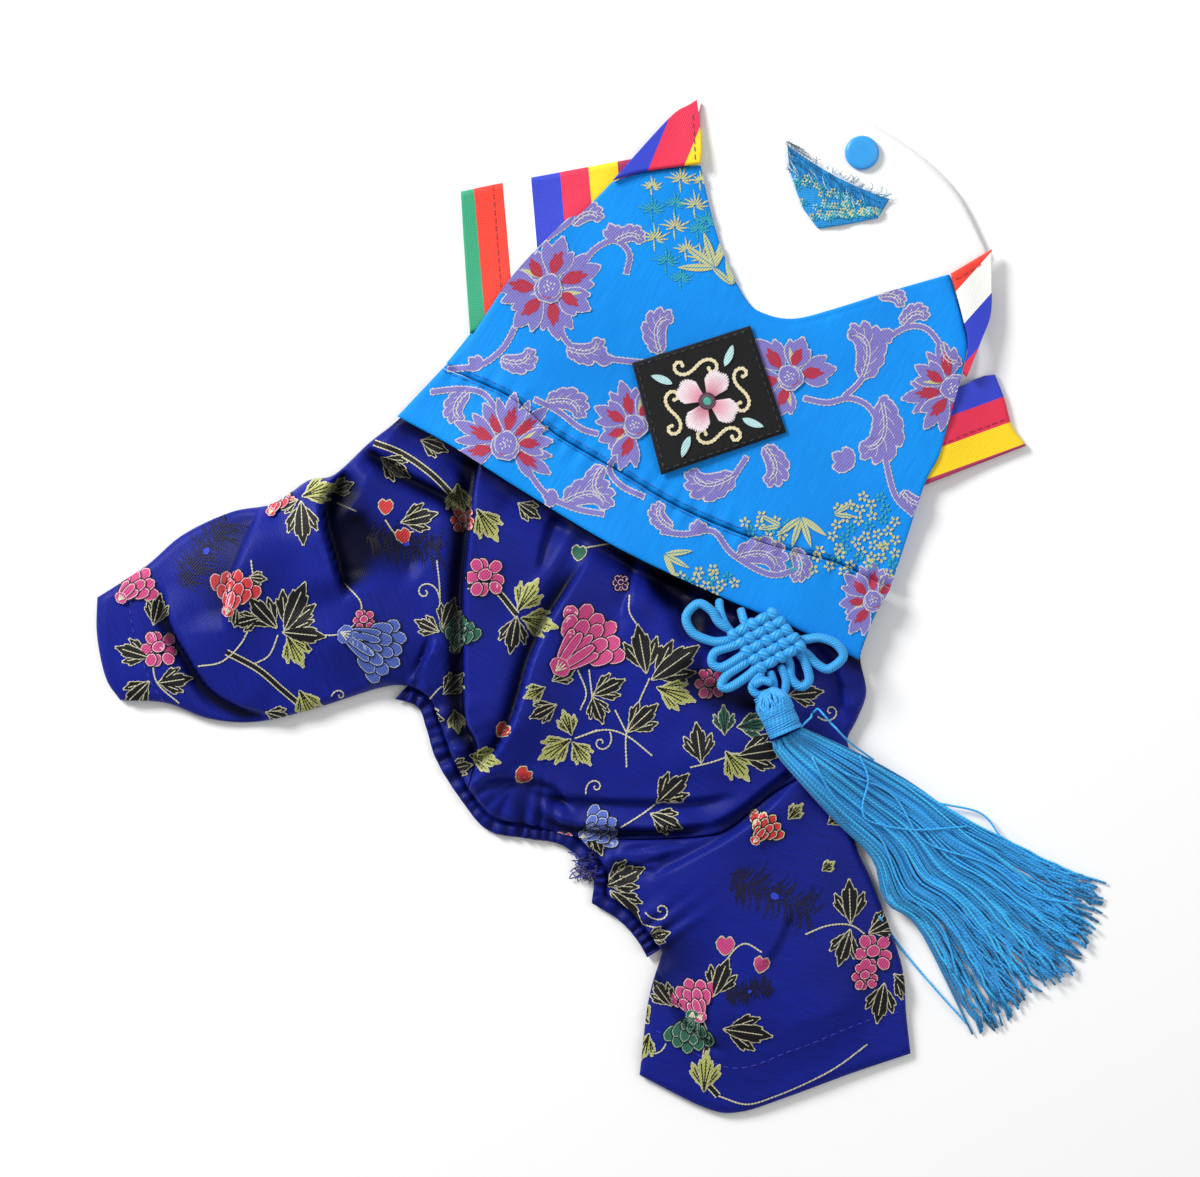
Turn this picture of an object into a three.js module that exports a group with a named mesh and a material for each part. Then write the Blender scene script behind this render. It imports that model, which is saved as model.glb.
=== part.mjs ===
// A dog hanbok laid flat: a satin jacket with striped sleeves, its back uppermost, over
// gathered trousers, with a knot and tassel at the hem. Millimetres, +Z up, the table at Z 0.
// Each cloth piece is a plan of four edges, as a cutter names them, laid on what is under it.
import * as THREE from "three";

// Driving dimensions
const SATIN = 1.2; // wall of one layer of satin with its backing
const LINING = 1.0;
const FELT = 1.6;
const GAP = 0.3; // between a piece and what it lies on
const SEAM_INSET = 0.25; // each piece stops this far short of a seam line
const CUFF_SLIT = 0.5; // between the two walls of a flat sleeve
const SNAP_DIAMETER = 12;
const SNAP_HEIGHT = 2.2;
const CORD_DIAMETER = 3.2;
const KNOT_THICKNESS = 5.6; // two cords, one over the other
const HEAD_DIAMETER = 11.2;
const ELASTIC_HEIGHT = 3.4;
const TROUSER_HEIGHT = { left: 9.5, seat: 10, right: 9.5, cuff: 3.2 };
const RIM_HEIGHT = 1.6; // hidden layers at an edge of the trousers
const WAIST_RISE = 54; // distance over which the trousers rise from the flat waist
const TABLE_HALF = 200;
const CELL = 1.5;

// Where the jacket and the trousers meet, seen from above, left to right
const BAND_SEAM = [[-56, 83], [-33, 73], [-17, 60], [5, 47], [27, 34], [56, 22], [81, 15], [100, 6]];
const WAIST_LEFT = [-56, 83];
const WAIST_RIGHT = [100, 6];
const ELASTIC_INSIDE_LEFT = [[-69, -28], [-61, -32], [-57, -41], [-53, -52]];
const ELASTIC_INSIDE_SEAT = [[-38.5, -73.5], [-26, -76.5]];
const ELASTIC_INSIDE_RIGHT = [[20.5, -121], [15.5, -113.5], [9, -106], [1, -100.5], [1, -92]];
const CENTRE_PLEAT = [[-47, -64], [-44, -49], [-48, -38], [-48.5, -12], [-48.5, 6], [-47, 22], [-44, 48], [-36.5, 72.5]];
const THIGH_FOLD = [[-8, -81], [13, -81.3], [34.5, -80.3], [44.5, -77.2], [61.5, -63.7], [86.3, -50.7]];

// Folds of the trousers: ridges, and valleys with a negative height, along a line
const FOLDS = [
  { x0: -117, y0: 30, x1: -130, y1: -6, height: 4, width: 9 },
  { x0: -95, y0: 38, x1: -88, y1: -6, height: 5, width: 7 },
  { x0: -76, y0: 36, x1: -66, y1: 2, height: -6, width: 8 },
  { x0: -150, y0: 4, x1: -132, y1: -34, height: -3, width: 6 },
  { x0: -60, y0: 44, x1: -58, y1: -30, height: -4, width: 7 },
  { x0: -38, y0: 40, x1: -40, y1: -44, height: 4, width: 8 },
  { x0: -2, y0: 14, x1: -34, y1: -46, height: 4, width: 8 },
  { x0: 14, y0: 10, x1: 26, y1: -30, height: 3, width: 10 },
  { x0: 0, y0: -68, x1: 56, y1: -50, height: 3, width: 9 },
  { x0: 8, y0: -90, x1: 60, y1: -84, height: -3, width: 8 },
  { x0: 40, y0: -100, x1: 72, y1: -140, height: 3, width: 12 },
  { x0: 20, y0: -126, x1: 38, y1: -152, height: -3, width: 6 },
];

// Cords of the knot that loop out of its woven body, each from where it leaves to where it returns
const LOOPS = {
  knot_loop_left: [[41, -12.2], [37, -12], [30.9, -9.2], [28.6, -3.6], [32.8, 0.9], [37.5, -1.7], [40, -5.6]],
  knot_loop_right: [[72, -11.2], [75.4, -11], [81, -13.4], [83.2, -17.6], [78.2, -21.8], [74.6, -20], [72.6, -17.2]],
  knot_loop_left_middle: [[42.4, -16], [38.2, -17], [37.4, -20.2], [40.6, -21.6], [44.4, -19.8]],
  knot_loop_left_low: [[45.6, -23.4], [42, -25], [40.4, -28.4], [43.6, -29.2], [48.4, -25.8]],
  knot_loop_right_low: [[65.4, -22.6], [65.6, -26], [68.4, -28.4], [71.6, -26.4], [70.4, -22.2]],
};
const KNOT_CORNERS = { left: [41.9, -9.4], bottom: [54, -23.6], right: [71.2, -14.4], top: [59, -0.2] };
const HEAD_START = [56.6, -29.4];
const HEAD_END = [63.2, -43.8];
const SNAP_CENTRE = [90.3, 158.2];

// A height map of the table and all that lies on it so far.
const CELLS = Math.round((2 * TABLE_HALF) / CELL);
const ground = new Float64Array(CELLS * CELLS);
const cellOf = (value) => Math.min(CELLS - 1, Math.max(0, Math.floor((value + TABLE_HALF) / CELL)));

function raise(x, y, z) {
  const k = cellOf(y) * CELLS + cellOf(x);
  ground[k] = Math.max(ground[k], z);
}

function highest(x, y, reach) {
  let top = 0;
  for (let row = cellOf(y - reach); row <= cellOf(y + reach); row++)
    for (let column = cellOf(x - reach); column <= cellOf(x + reach); column++)
      top = Math.max(top, ground[row * CELLS + column]);
  return top;
}

const restingOn = (x, y, reach) => {
  const under = highest(x, y, reach);
  return under > 0 ? under + GAP : 0;
};

const mix = (a, b, t) => a + (b - a) * t;
const mixPoint = (p, q, t) => [mix(p[0], q[0], t), mix(p[1], q[1], t)];
const smooth = (t) => {
  const s = Math.min(1, Math.max(0, t));
  return s * s * (3 - 2 * s);
};

// The point at a share of the length of a line of points.
function along(points, share) {
  const lengths = points.slice(1).map((p, i) => Math.hypot(p[0] - points[i][0], p[1] - points[i][1]));
  let left = share * lengths.reduce((sum, length) => sum + length, 0);
  for (let i = 0; i < lengths.length; i++) {
    if (left <= lengths[i] || i === lengths.length - 1)
      return mixPoint(points[i], points[i + 1], Math.min(1, left / lengths[i]));
    left -= lengths[i];
  }
}

// A grid of points between four edges: bottom and top run left to right, left and right run upwards.
function plan({ bottom, right, top, left }, columns, rows, inset = SEAM_INSET) {
  const blend = (u, v) => [0, 1].map((k) => {
    const sides = mix(along(bottom, u)[k], along(top, u)[k], v) + mix(along(left, v)[k], along(right, v)[k], u);
    const low = mix(bottom[0][k], bottom.at(-1)[k], u);
    const high = mix(top[0][k], top.at(-1)[k], u);
    return sides - mix(low, high, v);
  });
  const grid = Array.from({ length: rows + 1 }, (_, j) =>
    Array.from({ length: columns + 1 }, (_, i) => blend(i / columns, j / rows)));
  return grid.map((line, j) => line.map((p, i) => {
    const q = grid[Math.min(rows - 1, Math.max(1, j))][Math.min(columns - 1, Math.max(1, i))];
    const distance = Math.hypot(q[0] - p[0], q[1] - p[1]);
    return distance === 0 ? p : mixPoint(p, q, inset / distance);
  }));
}

// Heights over a grid from a function of x, y, u and v.
const heights = (grid, height) => grid.map((line, j) => line.map((p, i) =>
  height(p[0], p[1], i / (line.length - 1), j / (grid.length - 1))));

// The sheet bridges the hollows under it: a point is never lower than the middle of its neighbours.
function bridge(z, passes) {
  for (let pass = 0; pass < passes; pass++)
    z = z.map((line, j) => line.map((value, i) => {
      const near = [z[j - 1]?.[i], z[j + 1]?.[i], line[i - 1], line[i + 1]].filter((n) => n !== undefined);
      return Math.max(value, near.reduce((sum, n) => sum + n, 0) / near.length);
    }));
  return z;
}

function raiseBy(grid, z) {
  const STEPS = 8;
  for (let j = 0; j + 1 < grid.length; j++)
    for (let i = 0; i + 1 < grid[0].length; i++)
      for (let b = 0; b <= STEPS; b++)
        for (let a = 0; a <= STEPS; a++) {
          const across = a / STEPS;
          const up = b / STEPS;
          const [x, y] = mixPoint(
            mixPoint(grid[j][i], grid[j][i + 1], across), mixPoint(grid[j + 1][i], grid[j + 1][i + 1], across), up);
          raise(x, y, mix(mix(z[j][i], z[j][i + 1], across), mix(z[j + 1][i], z[j + 1][i + 1], across), up));
        }
}

function turnsLeft(grid) {
  const [a, b, c] = [grid[0][0], grid[0].at(-1), grid.at(-1)[0]];
  return (b[0] - a[0]) * (c[1] - a[1]) - (b[1] - a[1]) * (c[0] - a[0]) > 0;
}

function geometryOf(points, quads, outward) {
  const geometry = new THREE.BufferGeometry();
  geometry.setAttribute("position", new THREE.Float32BufferAttribute(points.flat(), 3));
  geometry.setIndex(quads.flatMap(([a, b, c, d]) => (outward ? [a, b, c, a, c, d] : [a, c, b, a, d, c])));
  geometry.computeVertexNormals();
  return geometry;
}

// A closed solid between two height fields over one grid.
function slab(grid, low, high) {
  const rows = grid.length;
  const columns = grid[0].length;
  const layer = (z) => grid.flatMap((line, j) => line.map(([x, y], i) => [x, y, z[j][i]]));
  const at = (i, j, k) => k * rows * columns + j * columns + i;
  const quads = [];
  for (let j = 0; j + 1 < rows; j++)
    for (let i = 0; i + 1 < columns; i++) {
      quads.push([at(i, j, 1), at(i + 1, j, 1), at(i + 1, j + 1, 1), at(i, j + 1, 1)]);
      quads.push([at(i, j, 0), at(i, j + 1, 0), at(i + 1, j + 1, 0), at(i + 1, j, 0)]);
    }
  for (let i = 0; i + 1 < columns; i++) {
    quads.push([at(i, 0, 0), at(i + 1, 0, 0), at(i + 1, 0, 1), at(i, 0, 1)]);
    quads.push([at(i + 1, rows - 1, 0), at(i, rows - 1, 0), at(i, rows - 1, 1), at(i + 1, rows - 1, 1)]);
  }
  for (let j = 0; j + 1 < rows; j++) {
    quads.push([at(0, j + 1, 0), at(0, j, 0), at(0, j, 1), at(0, j + 1, 1)]);
    quads.push([at(columns - 1, j, 0), at(columns - 1, j + 1, 0), at(columns - 1, j + 1, 1), at(columns - 1, j, 1)]);
  }
  return geometryOf([...layer(low), ...layer(high)], quads, turnsLeft(grid));
}

// A flattened sleeve, open at both ends: its two walls join in folds along its first and last rows.
function flatTube(grid, low, wall, slit) {
  const rows = grid.length;
  const columns = grid[0].length;
  const ring = (i, outer) => {
    const line = grid.map((row, j) => {
      const p = row[i];
      const q = grid[j === 0 ? 1 : j === rows - 1 ? rows - 2 : j][i];
      const length = Math.hypot(q[0] - p[0], q[1] - p[1]);
      const [x, y] = outer || length === 0 ? p : mixPoint(p, q, wall / length);
      return [x, y, low[j][i]];
    });
    const bottom = line.map(([x, y, z]) => [x, y, outer ? z : z + wall]);
    const top = line.map(([x, y, z]) => [x, y, z + wall + slit + (outer ? wall : 0)]).reverse();
    return [...bottom, ...top];
  };
  const count = 2 * rows;
  const points = [true, false].flatMap((outer) => Array.from({ length: columns }, (_, i) => ring(i, outer)).flat());
  const at = (i, k, inner) => (inner * columns + i) * count + (k % count);
  const quads = [];
  for (let k = 0; k < count; k++) {
    for (let i = 0; i + 1 < columns; i++) {
      quads.push([at(i, k, 0), at(i, k + 1, 0), at(i + 1, k + 1, 0), at(i + 1, k, 0)]);
      quads.push([at(i, k, 1), at(i + 1, k, 1), at(i + 1, k + 1, 1), at(i, k + 1, 1)]);
    }
    quads.push([at(0, k, 0), at(0, k, 1), at(0, k + 1, 1), at(0, k + 1, 0)]);
    quads.push([at(columns - 1, k, 0), at(columns - 1, k + 1, 0), at(columns - 1, k + 1, 1), at(columns - 1, k, 1)]);
  }
  return geometryOf(points, quads, turnsLeft(grid));
}

// Height of a ridge or valley that fades out beyond the ends of its line.
function foldHeight({ x0, y0, x1, y1, height, width }, x, y) {
  const length = Math.hypot(x1 - x0, y1 - y0);
  const run = ((x - x0) * (x1 - x0) + (y - y0) * (y1 - y0)) / length;
  const off = ((x - x0) * (y1 - y0) - (y - y0) * (x1 - x0)) / length;
  const past = Math.max(0, -run, run - length);
  return height * Math.exp(-((off / width) ** 2) - (past / width) ** 2);
}

// How far a point lies from the waist, towards the cuffs.
function fromWaist(x, y) {
  const dx = WAIST_RIGHT[0] - WAIST_LEFT[0];
  const dy = WAIST_RIGHT[1] - WAIST_LEFT[1];
  return ((x - WAIST_LEFT[0]) * dy - (y - WAIST_LEFT[1]) * dx) / Math.hypot(dx, dy);
}

// Hidden layers of the trousers: a rounded form that thins to its soft edges and to the waist.
function layersHeight(height, soft) {
  return (x, y, u, v) => {
    const rise = (side, distance) => (soft.includes(side) ? smooth(distance / 0.28) : 1);
    const rim = rise("left", u) * rise("right", 1 - u) * rise("bottom", v) * rise("top", 1 - v);
    const folds = FOLDS.reduce((sum, fold) => sum + foldHeight(fold, x, y), 0);
    const body = Math.max(2, height(u, v) + folds - RIM_HEIGHT);
    return RIM_HEIGHT + body * rim * smooth(fromWaist(x, y) / WAIST_RISE);
  };
}

const material = (color, roughness = 0.5) => new THREE.MeshStandardMaterial({ color, roughness, metalness: 0 });
const FINISH = {
  azureBrocade: () => material(0x1490e6, 0.45),
  blueBrocade: () => material(0x26249a, 0.4),
  whiteLining: () => material(0xf6f6f4, 0.8),
  stripedSatin: () => material(0xe0485a, 0.4),
  felt: () => material(0x101014, 0.95),
  cord: () => material(0x3aa2ea, 0.45),
  plastic: () => material(0x46b4ff, 0.3),
};

const hanbok = new THREE.Group();

function add(name, geometry, finish) {
  const mesh = new THREE.Mesh(geometry, finish());
  mesh.name = name;
  hanbok.add(mesh);
  return mesh;
}

// Lays one layer of cloth on what is already there.
function layCloth(name, edges, { columns, rows, wall, finish, reach = 4, passes = 4 }) {
  const grid = plan(edges, columns, rows);
  const low = bridge(heights(grid, (x, y) => restingOn(x, y, reach)), passes);
  const high = low.map((line) => line.map((z) => z + wall));
  add(name, slab(grid, low, high), finish);
  raiseBy(grid, high);
}

// A closed form that stands on the table.
function setForm(name, edges, { columns, rows, height, finish, inset = 0.6 }) {
  const grid = plan(edges, columns, rows, inset);
  const high = heights(grid, height);
  add(name, slab(grid, heights(grid, () => 0), high), finish);
  raiseBy(grid, high);
}

function laySleeve(name, edges, columns, rows) {
  const grid = plan(edges, columns, rows);
  const low = bridge(heights(grid, (x, y) => restingOn(x, y, 3)), 2);
  add(name, flatTube(grid, low, SATIN * 0.8, CUFF_SLIT), FINISH.stripedSatin);
  raiseBy(grid, low.map((line) => line.map((z) => z + 1.6 * SATIN + CUFF_SLIT)));
}

// The lower half of the jacket and what shows of its inside at the neck
function makeJacketInside() {
  const nearSeam = BAND_SEAM.map(([x, y]) => [x + 1, y + 2]);
  layCloth("belly_panel", {
    bottom: nearSeam,
    right: [[101, 8], [112, 42], [121, 66], [124, 81], [133, 104], [134, 123]],
    top: [[34, 176], [48, 178.5], [65, 177.5], [83, 173], [96, 167], [111, 157], [124, 143], [134, 123]],
    left: [[-55, 85], [-30, 115], [3, 147], [23, 168], [34, 176]],
  }, { columns: 12, rows: 10, wall: SATIN, finish: FINISH.azureBrocade });
  layCloth("neck_lining", {
    bottom: [[29, 148], [47, 98], [66, 90], [90, 96], [122, 105]],
    right: [[122, 105], [132, 121]],
    top: [[35, 173], [48, 176], [65, 175], [83, 170.5], [95, 165], [110, 155], [122, 142], [132, 121]],
    left: [[29, 148], [35, 173]],
  }, { columns: 12, rows: 8, wall: LINING, finish: FINISH.whiteLining });
  layCloth("neck_facing", {
    bottom: [[69.5, 139], [75, 131.5], [86, 133.3], [96, 135.3]],
    right: [[96, 135.3], [100, 142]],
    top: [[64, 161], [73, 155], [84.5, 148.4], [100, 142]],
    left: [[69.5, 139], [65.3, 151], [64, 161]],
  }, { columns: 6, rows: 4, wall: LINING, finish: FINISH.azureBrocade, reach: 2, passes: 0 });
}

function makeSleeves() {
  laySleeve("left_sleeve", {
    bottom: [[-46.7, 95], [-6, 104]],
    right: [[-6, 104], [14, 157]],
    top: [[-50, 145], [-33, 148.5], [14, 157]],
    left: [[-46.7, 95], [-49, 128], [-50, 145]],
  }, 8, 5);
  laySleeve("right_sleeve", {
    bottom: [[100, 37], [103, 69]],
    right: [[103, 69], [124, 76.5], [131, 80], [137, 81]],
    top: [[148, 56], [143, 63], [140.5, 72], [137, 81]],
    left: [[100, 37], [112, 42], [148, 56]],
  }, 5, 6);
}

// Each stretch of the trousers: hidden layers as one rounded form, and the cloth on it
function makeTrousers() {
  const seatTop = BAND_SEAM.map(([x, y]) => [x - 0.5, y - 1]).filter(([x]) => x > -35 && x < 98);
  const stretches = [
    {
      name: "left_leg",
      soft: ["bottom", "top"],
      height: (u) => mix(TROUSER_HEIGHT.cuff, TROUSER_HEIGHT.left, smooth(u / 0.45)),
      edges: {
        bottom: [[-169, -33], [-153, -34], [-138, -39.5], [-121, -40.6], [-101, -36], [-79, -29], ...ELASTIC_INSIDE_LEFT,
          CENTRE_PLEAT[0]],
        right: CENTRE_PLEAT,
        top: [[-177, 3], [-160, 14], [-147, 25], [-130, 33], [-115, 36], [-103, 44], [-94, 46], [-82, 57], [-72, 65],
          [-57, 80], CENTRE_PLEAT.at(-1)],
        left: [[-169, -33], [-174, -25], [-177, -10.5], [-177, 3]],
      },
      columns: 16,
      rows: 11,
    },
    {
      name: "seat",
      soft: ["bottom", "right"],
      height: () => TROUSER_HEIGHT.seat,
      edges: {
        bottom: [CENTRE_PLEAT[0], ...ELASTIC_INSIDE_SEAT, ...THIGH_FOLD],
        right: [THIGH_FOLD.at(-1), [85.5, -46], [89, -39], [92, -30], [90, -19], [91, -12], [98, 4]],
        top: [CENTRE_PLEAT.at(-1), ...seatTop, [98, 4]],
        left: CENTRE_PLEAT,
      },
      columns: 15,
      rows: 12,
    },
    {
      name: "right_leg",
      soft: ["bottom", "left", "right"],
      height: (u, v) => mix(TROUSER_HEIGHT.cuff, TROUSER_HEIGHT.right, smooth(v / 0.45)),
      edges: {
        bottom: [[12.5, -164], [35.5, -175.5], [47.5, -177], [63.5, -172], [86.5, -163.5], [107.5, -156.5]],
        right: [[107.5, -156.5], [106, -143], [104.5, -126], [98.5, -108], [94, -96], [88, -82], [87, -64],
          THIGH_FOLD.at(-1)],
        top: THIGH_FOLD,
        left: [[12.5, -164], [15.6, -138], ...ELASTIC_INSIDE_RIGHT, THIGH_FOLD[0]],
      },
      columns: 12,
      rows: 12,
    },
  ];
  for (const { name, soft, height, edges, columns, rows } of stretches)
    setForm(`${name}_layers`, edges, { columns, rows, height: layersHeight(height, soft), finish: FINISH.blueBrocade });
  for (const { name, edges, columns, rows } of stretches)
    layCloth(`${name}_cloth`, edges, { columns, rows, wall: SATIN, finish: FINISH.blueBrocade, reach: 2.5, passes: 1 });
}

// The tail opening's casing, puckered by the elastic inside it
function makeElastic() {
  const PUCKERS = 14;
  setForm("tail_elastic", {
    bottom: [[-73, -32.5], [-65, -35.5], [-62, -43], [-58.5, -54], [-50.5, -67], [-40.5, -78.5], [-26, -81.5], [-14, -84],
      [-4.2, -94], [-4.2, -104], [5.4, -110], [11.7, -117], [15.2, -123]],
    right: [[15.2, -123], [19.6, -121]],
    top: [[-70, -29], [-61.6, -32.8], [-57.6, -41.5], [-53.8, -52.5], [-47.4, -64.8], [-39, -74.6], [-26, -77.6],
      [-11.8, -80.2], [0, -92.4], [0, -101.2], [8.4, -106.8], [14.8, -114.2], [19.6, -121]],
    left: [[-73, -32.5], [-70, -29]],
  }, {
    columns: 4 * PUCKERS,
    rows: 2,
    height: (x, y, u, v) => mix(ELASTIC_HEIGHT * 0.55, ELASTIC_HEIGHT, Math.abs(Math.sin(Math.PI * PUCKERS * u)))
      * (v === 0.5 ? 1 : 0.75),
    finish: FINISH.blueBrocade,
    inset: 0.3,
  });
}

function makeJacketOutside() {
  layCloth("back_panel", {
    bottom: BAND_SEAM,
    right: [[100, 6], [103.5, 16], [112, 42], [117, 52], [121, 66], [125, 81]],
    top: [[3, 148], [13, 151], [34, 154], [37, 140], [42, 123], [50, 107], [57, 102], [67, 100.5], [81, 104],
      [100, 110], [121, 116], [125, 101], [127, 91], [125, 81]],
    left: [[-56, 83], [-47, 93], [-32, 115], [-14, 134], [-8, 137], [3, 148]],
  }, { columns: 20, rows: 14, wall: SATIN, finish: FINISH.azureBrocade, reach: 5, passes: 12 });
  layCloth("hem_band", {
    bottom: [[-72, 66], [-52, 55], [-30, 41], [5, 20], [41, 3], [67, -8], [89, -19]],
    right: [[89, -19], [94, -5], [100, 6]],
    top: BAND_SEAM,
    left: [[-72, 66], [-56, 83]],
  }, { columns: 20, rows: 3, wall: SATIN, finish: FINISH.azureBrocade, passes: 12 });
  layCloth("left_shoulder", {
    bottom: [[3, 148], [13, 151], [34, 154]],
    right: [[34, 154], [34.3, 163], [32.7, 177]],
    top: [[30, 175], [32.7, 177]],
    left: [[3, 148], [22.6, 170], [30, 175]],
  }, { columns: 5, rows: 5, wall: SATIN, finish: FINISH.stripedSatin, reach: 3 });
  layCloth("right_shoulder", {
    bottom: [[125, 81], [126.5, 79.5]],
    right: [[126.5, 79.5], [132, 93], [135, 101], [135.6, 109.5], [135.6, 124.7]],
    top: [[121, 116], [135.6, 124.7]],
    left: [[125, 81], [127, 91], [125, 101], [121, 116]],
  }, { columns: 4, rows: 6, wall: SATIN, finish: FINISH.stripedSatin, reach: 3 });
  layCloth("embroidered_patch", {
    bottom: [[20, 45.5], [64, 60.5]],
    right: [[64, 60.5], [51.3, 98]],
    top: [[9.8, 84.8], [51.3, 98]],
    left: [[20, 45.5], [9.8, 84.8]],
  }, { columns: 6, rows: 6, wall: FELT, finish: FINISH.felt, passes: 6 });
}

function makeSnap() {
  const radius = SNAP_DIAMETER / 2;
  const profile = [[0, 0], [radius, 0], [radius, SNAP_HEIGHT * 0.5], [radius * 0.86, SNAP_HEIGHT * 0.9], [0, SNAP_HEIGHT]];
  const cap = new THREE.LatheGeometry(profile.map(([r, z]) => new THREE.Vector2(r, z)), 32);
  cap.rotateX(Math.PI / 2);
  const mesh = add("snap_cap", cap, FINISH.plastic);
  mesh.position.set(SNAP_CENTRE[0], SNAP_CENTRE[1], restingOn(...SNAP_CENTRE, radius));
}

// A round cord that lies on what is under it.
function cordAlong(points) {
  const radius = CORD_DIAMETER / 2;
  const laid = points.map(([x, y]) => new THREE.Vector3(x, y, restingOn(x, y, radius) + radius));
  const level = Math.max(...laid.map((p) => p.z));
  const curve = new THREE.CatmullRomCurve3(laid.map((p) => p.setZ(level)));
  const section = new THREE.Shape();
  section.absarc(0, 0, radius, 0, 2 * Math.PI);
  return new THREE.ExtrudeGeometry(section, { steps: 14, curveSegments: 4, extrudePath: curve });
}

function makeKnotAndTassel() {
  for (const [name, points] of Object.entries(LOOPS))
    add(name, cordAlong(points), FINISH.cord);
  const { left, bottom, right, top } = KNOT_CORNERS;
  const body = plan({ bottom: [bottom, right], right: [right, top], top: [left, top], left: [bottom, left] }, 4, 4);
  const level = Math.max(...body.flat().map(([x, y]) => restingOn(x, y, 1.5)));
  add("knot_body", slab(body, heights(body, () => level), heights(body, () => level + KNOT_THICKNESS)), FINISH.cord);

  const start = new THREE.Vector3(...HEAD_START, 0);
  const end = new THREE.Vector3(...HEAD_END, 0);
  const radius = HEAD_DIAMETER / 2;
  const length = start.distanceTo(end);
  const profile = [[0, 0], [radius * 0.55, 0], [radius * 0.95, 2.5], [radius, 6], [radius, length], [0, length]];
  const head = new THREE.LatheGeometry(profile.map(([r, z]) => new THREE.Vector2(r, z)), 20);
  const mesh = add("tassel_head", head, FINISH.cord);
  const middle = start.clone().lerp(end, 0.5);
  start.z = restingOn(middle.x, middle.y, 2) + radius;
  mesh.position.copy(start);
  mesh.quaternion.setFromUnitVectors(new THREE.Vector3(0, 1, 0), end.clone().setZ(0).sub(start.clone().setZ(0)).normalize());

  const grid = plan({
    bottom: [[58.3, -46.6], [59, -51], [67, -61], [79, -74], [93, -88], [97.5, -103], [110, -113], [129, -150.5]],
    right: [[129, -150.5], [134, -150], [141, -147], [151, -137], [168, -129], [170.6, -117], [176, -107], [177, -97]],
    top: [[68.5, -42], [88, -50.5], [105, -59.5], [119.5, -68.6], [139, -79.4], [158, -89.6], [177, -97]],
    left: [[58.3, -46.6], [68.5, -42]],
  }, 14, 6);
  const low = bridge(heights(grid, (x, y) => restingOn(x, y, 3)), 2);
  const thickness = heights(grid, (x, y, u, v) => mix(8, 3, Math.sqrt(u)) * (0.35 + 0.65 * Math.sin(Math.PI * v)));
  const high = low.map((line, j) => line.map((z, i) => z + thickness[j][i]));
  add("tassel_skirt", slab(grid, low, high), FINISH.cord);
}

makeJacketInside();
makeSleeves();
makeTrousers();
makeElastic();
makeJacketOutside();
makeSnap();
makeKnotAndTassel();

export default hanbok;
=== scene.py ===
"""Looks of a small dog's hanbok laid flat: azure brocade jacket, striped sleeves, royal blue brocade
trousers, an embroidered felt patch, a knot and a tassel.

Plans and heights are in millimetres, seen from above with the neck up the page; meshes are in metres."""

import math

import bmesh
import bpy
import numpy as np
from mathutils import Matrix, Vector


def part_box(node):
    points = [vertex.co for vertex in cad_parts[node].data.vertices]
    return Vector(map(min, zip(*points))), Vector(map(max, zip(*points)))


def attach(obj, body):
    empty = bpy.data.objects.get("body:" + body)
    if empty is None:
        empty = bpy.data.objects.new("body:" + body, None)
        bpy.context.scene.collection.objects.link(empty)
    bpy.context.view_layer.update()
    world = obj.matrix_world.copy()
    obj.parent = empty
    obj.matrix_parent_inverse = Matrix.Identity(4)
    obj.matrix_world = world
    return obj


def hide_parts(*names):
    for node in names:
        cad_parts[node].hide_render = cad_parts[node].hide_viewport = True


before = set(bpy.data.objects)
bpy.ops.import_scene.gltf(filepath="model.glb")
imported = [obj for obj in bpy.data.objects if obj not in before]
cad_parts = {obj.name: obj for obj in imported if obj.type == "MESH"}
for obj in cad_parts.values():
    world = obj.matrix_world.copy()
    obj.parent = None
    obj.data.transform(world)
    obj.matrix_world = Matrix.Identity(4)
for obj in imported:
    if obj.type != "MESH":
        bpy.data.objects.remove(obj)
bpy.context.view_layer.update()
rng = np.random.default_rng(7)

MM = 0.001
GRID = 1.1  # spacing of a shell's points
SATIN = 1.0  # wall of a brocade panel with its backing
FELT = 1.6
CORD = 3.2  # thickness of the knot's cord
JACKET_GRAIN = -30  # direction of the jacket's warp in the plan, degrees
THREAD_LIFT = 0.2  # brocade floats stand this far above the ground weave, so no fold cuts through them
LAYER = 0.12  # lift of a figure's fill over its rim
CELL = 0.5  # side of a cell of the height rasters
HALF = 200.0  # half the side of the square they cover
CELLS = int(2 * HALF / CELL)
EMPTY = -1e3  # what a raster holds where nothing lies

# Seams and edges that several pieces share
BAND_SEAM = [(-56, 83), (-33, 73), (-17, 60), (5, 47), (27, 34), (56, 22), (81, 15), (100, 6)]
HEM = [(-72, 66), (-52, 55), (-30, 41), (5, 20), (41, 3), (67, -8), (89, -19)]
CENTRE_PLEAT = [(-47, -64), (-44, -49), (-48, -38), (-48.5, -12), (-48.5, 6), (-47, 22), (-44, 48),
                (-36.5, 72.5)]
THIGH_FOLD = [(-8, -81), (13, -81.3), (34.5, -80.3), (44.5, -77.2), (61.5, -63.7), (86.3, -50.7)]
ELASTIC_OUTSIDE = [(-73, -32.5), (-65, -35.5), (-62, -43), (-58.5, -54), (-50.5, -67), (-40.5, -78.5),
                   (-26, -81.5), (-14, -84), (-4.2, -94), (-4.2, -104), (5.4, -110), (11.7, -117),
                   (15.2, -123)]
ELASTIC_INSIDE = [(-70, -29), (-61.6, -32.8), (-57.6, -41.5), (-53.8, -52.5), (-47.4, -64.8), (-39, -74.6),
                  (-26, -77.6), (-11.8, -80.2), (0, -92.4), (0, -101.2), (8.4, -106.8), (14.8, -114.2),
                  (19.6, -121)]
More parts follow.
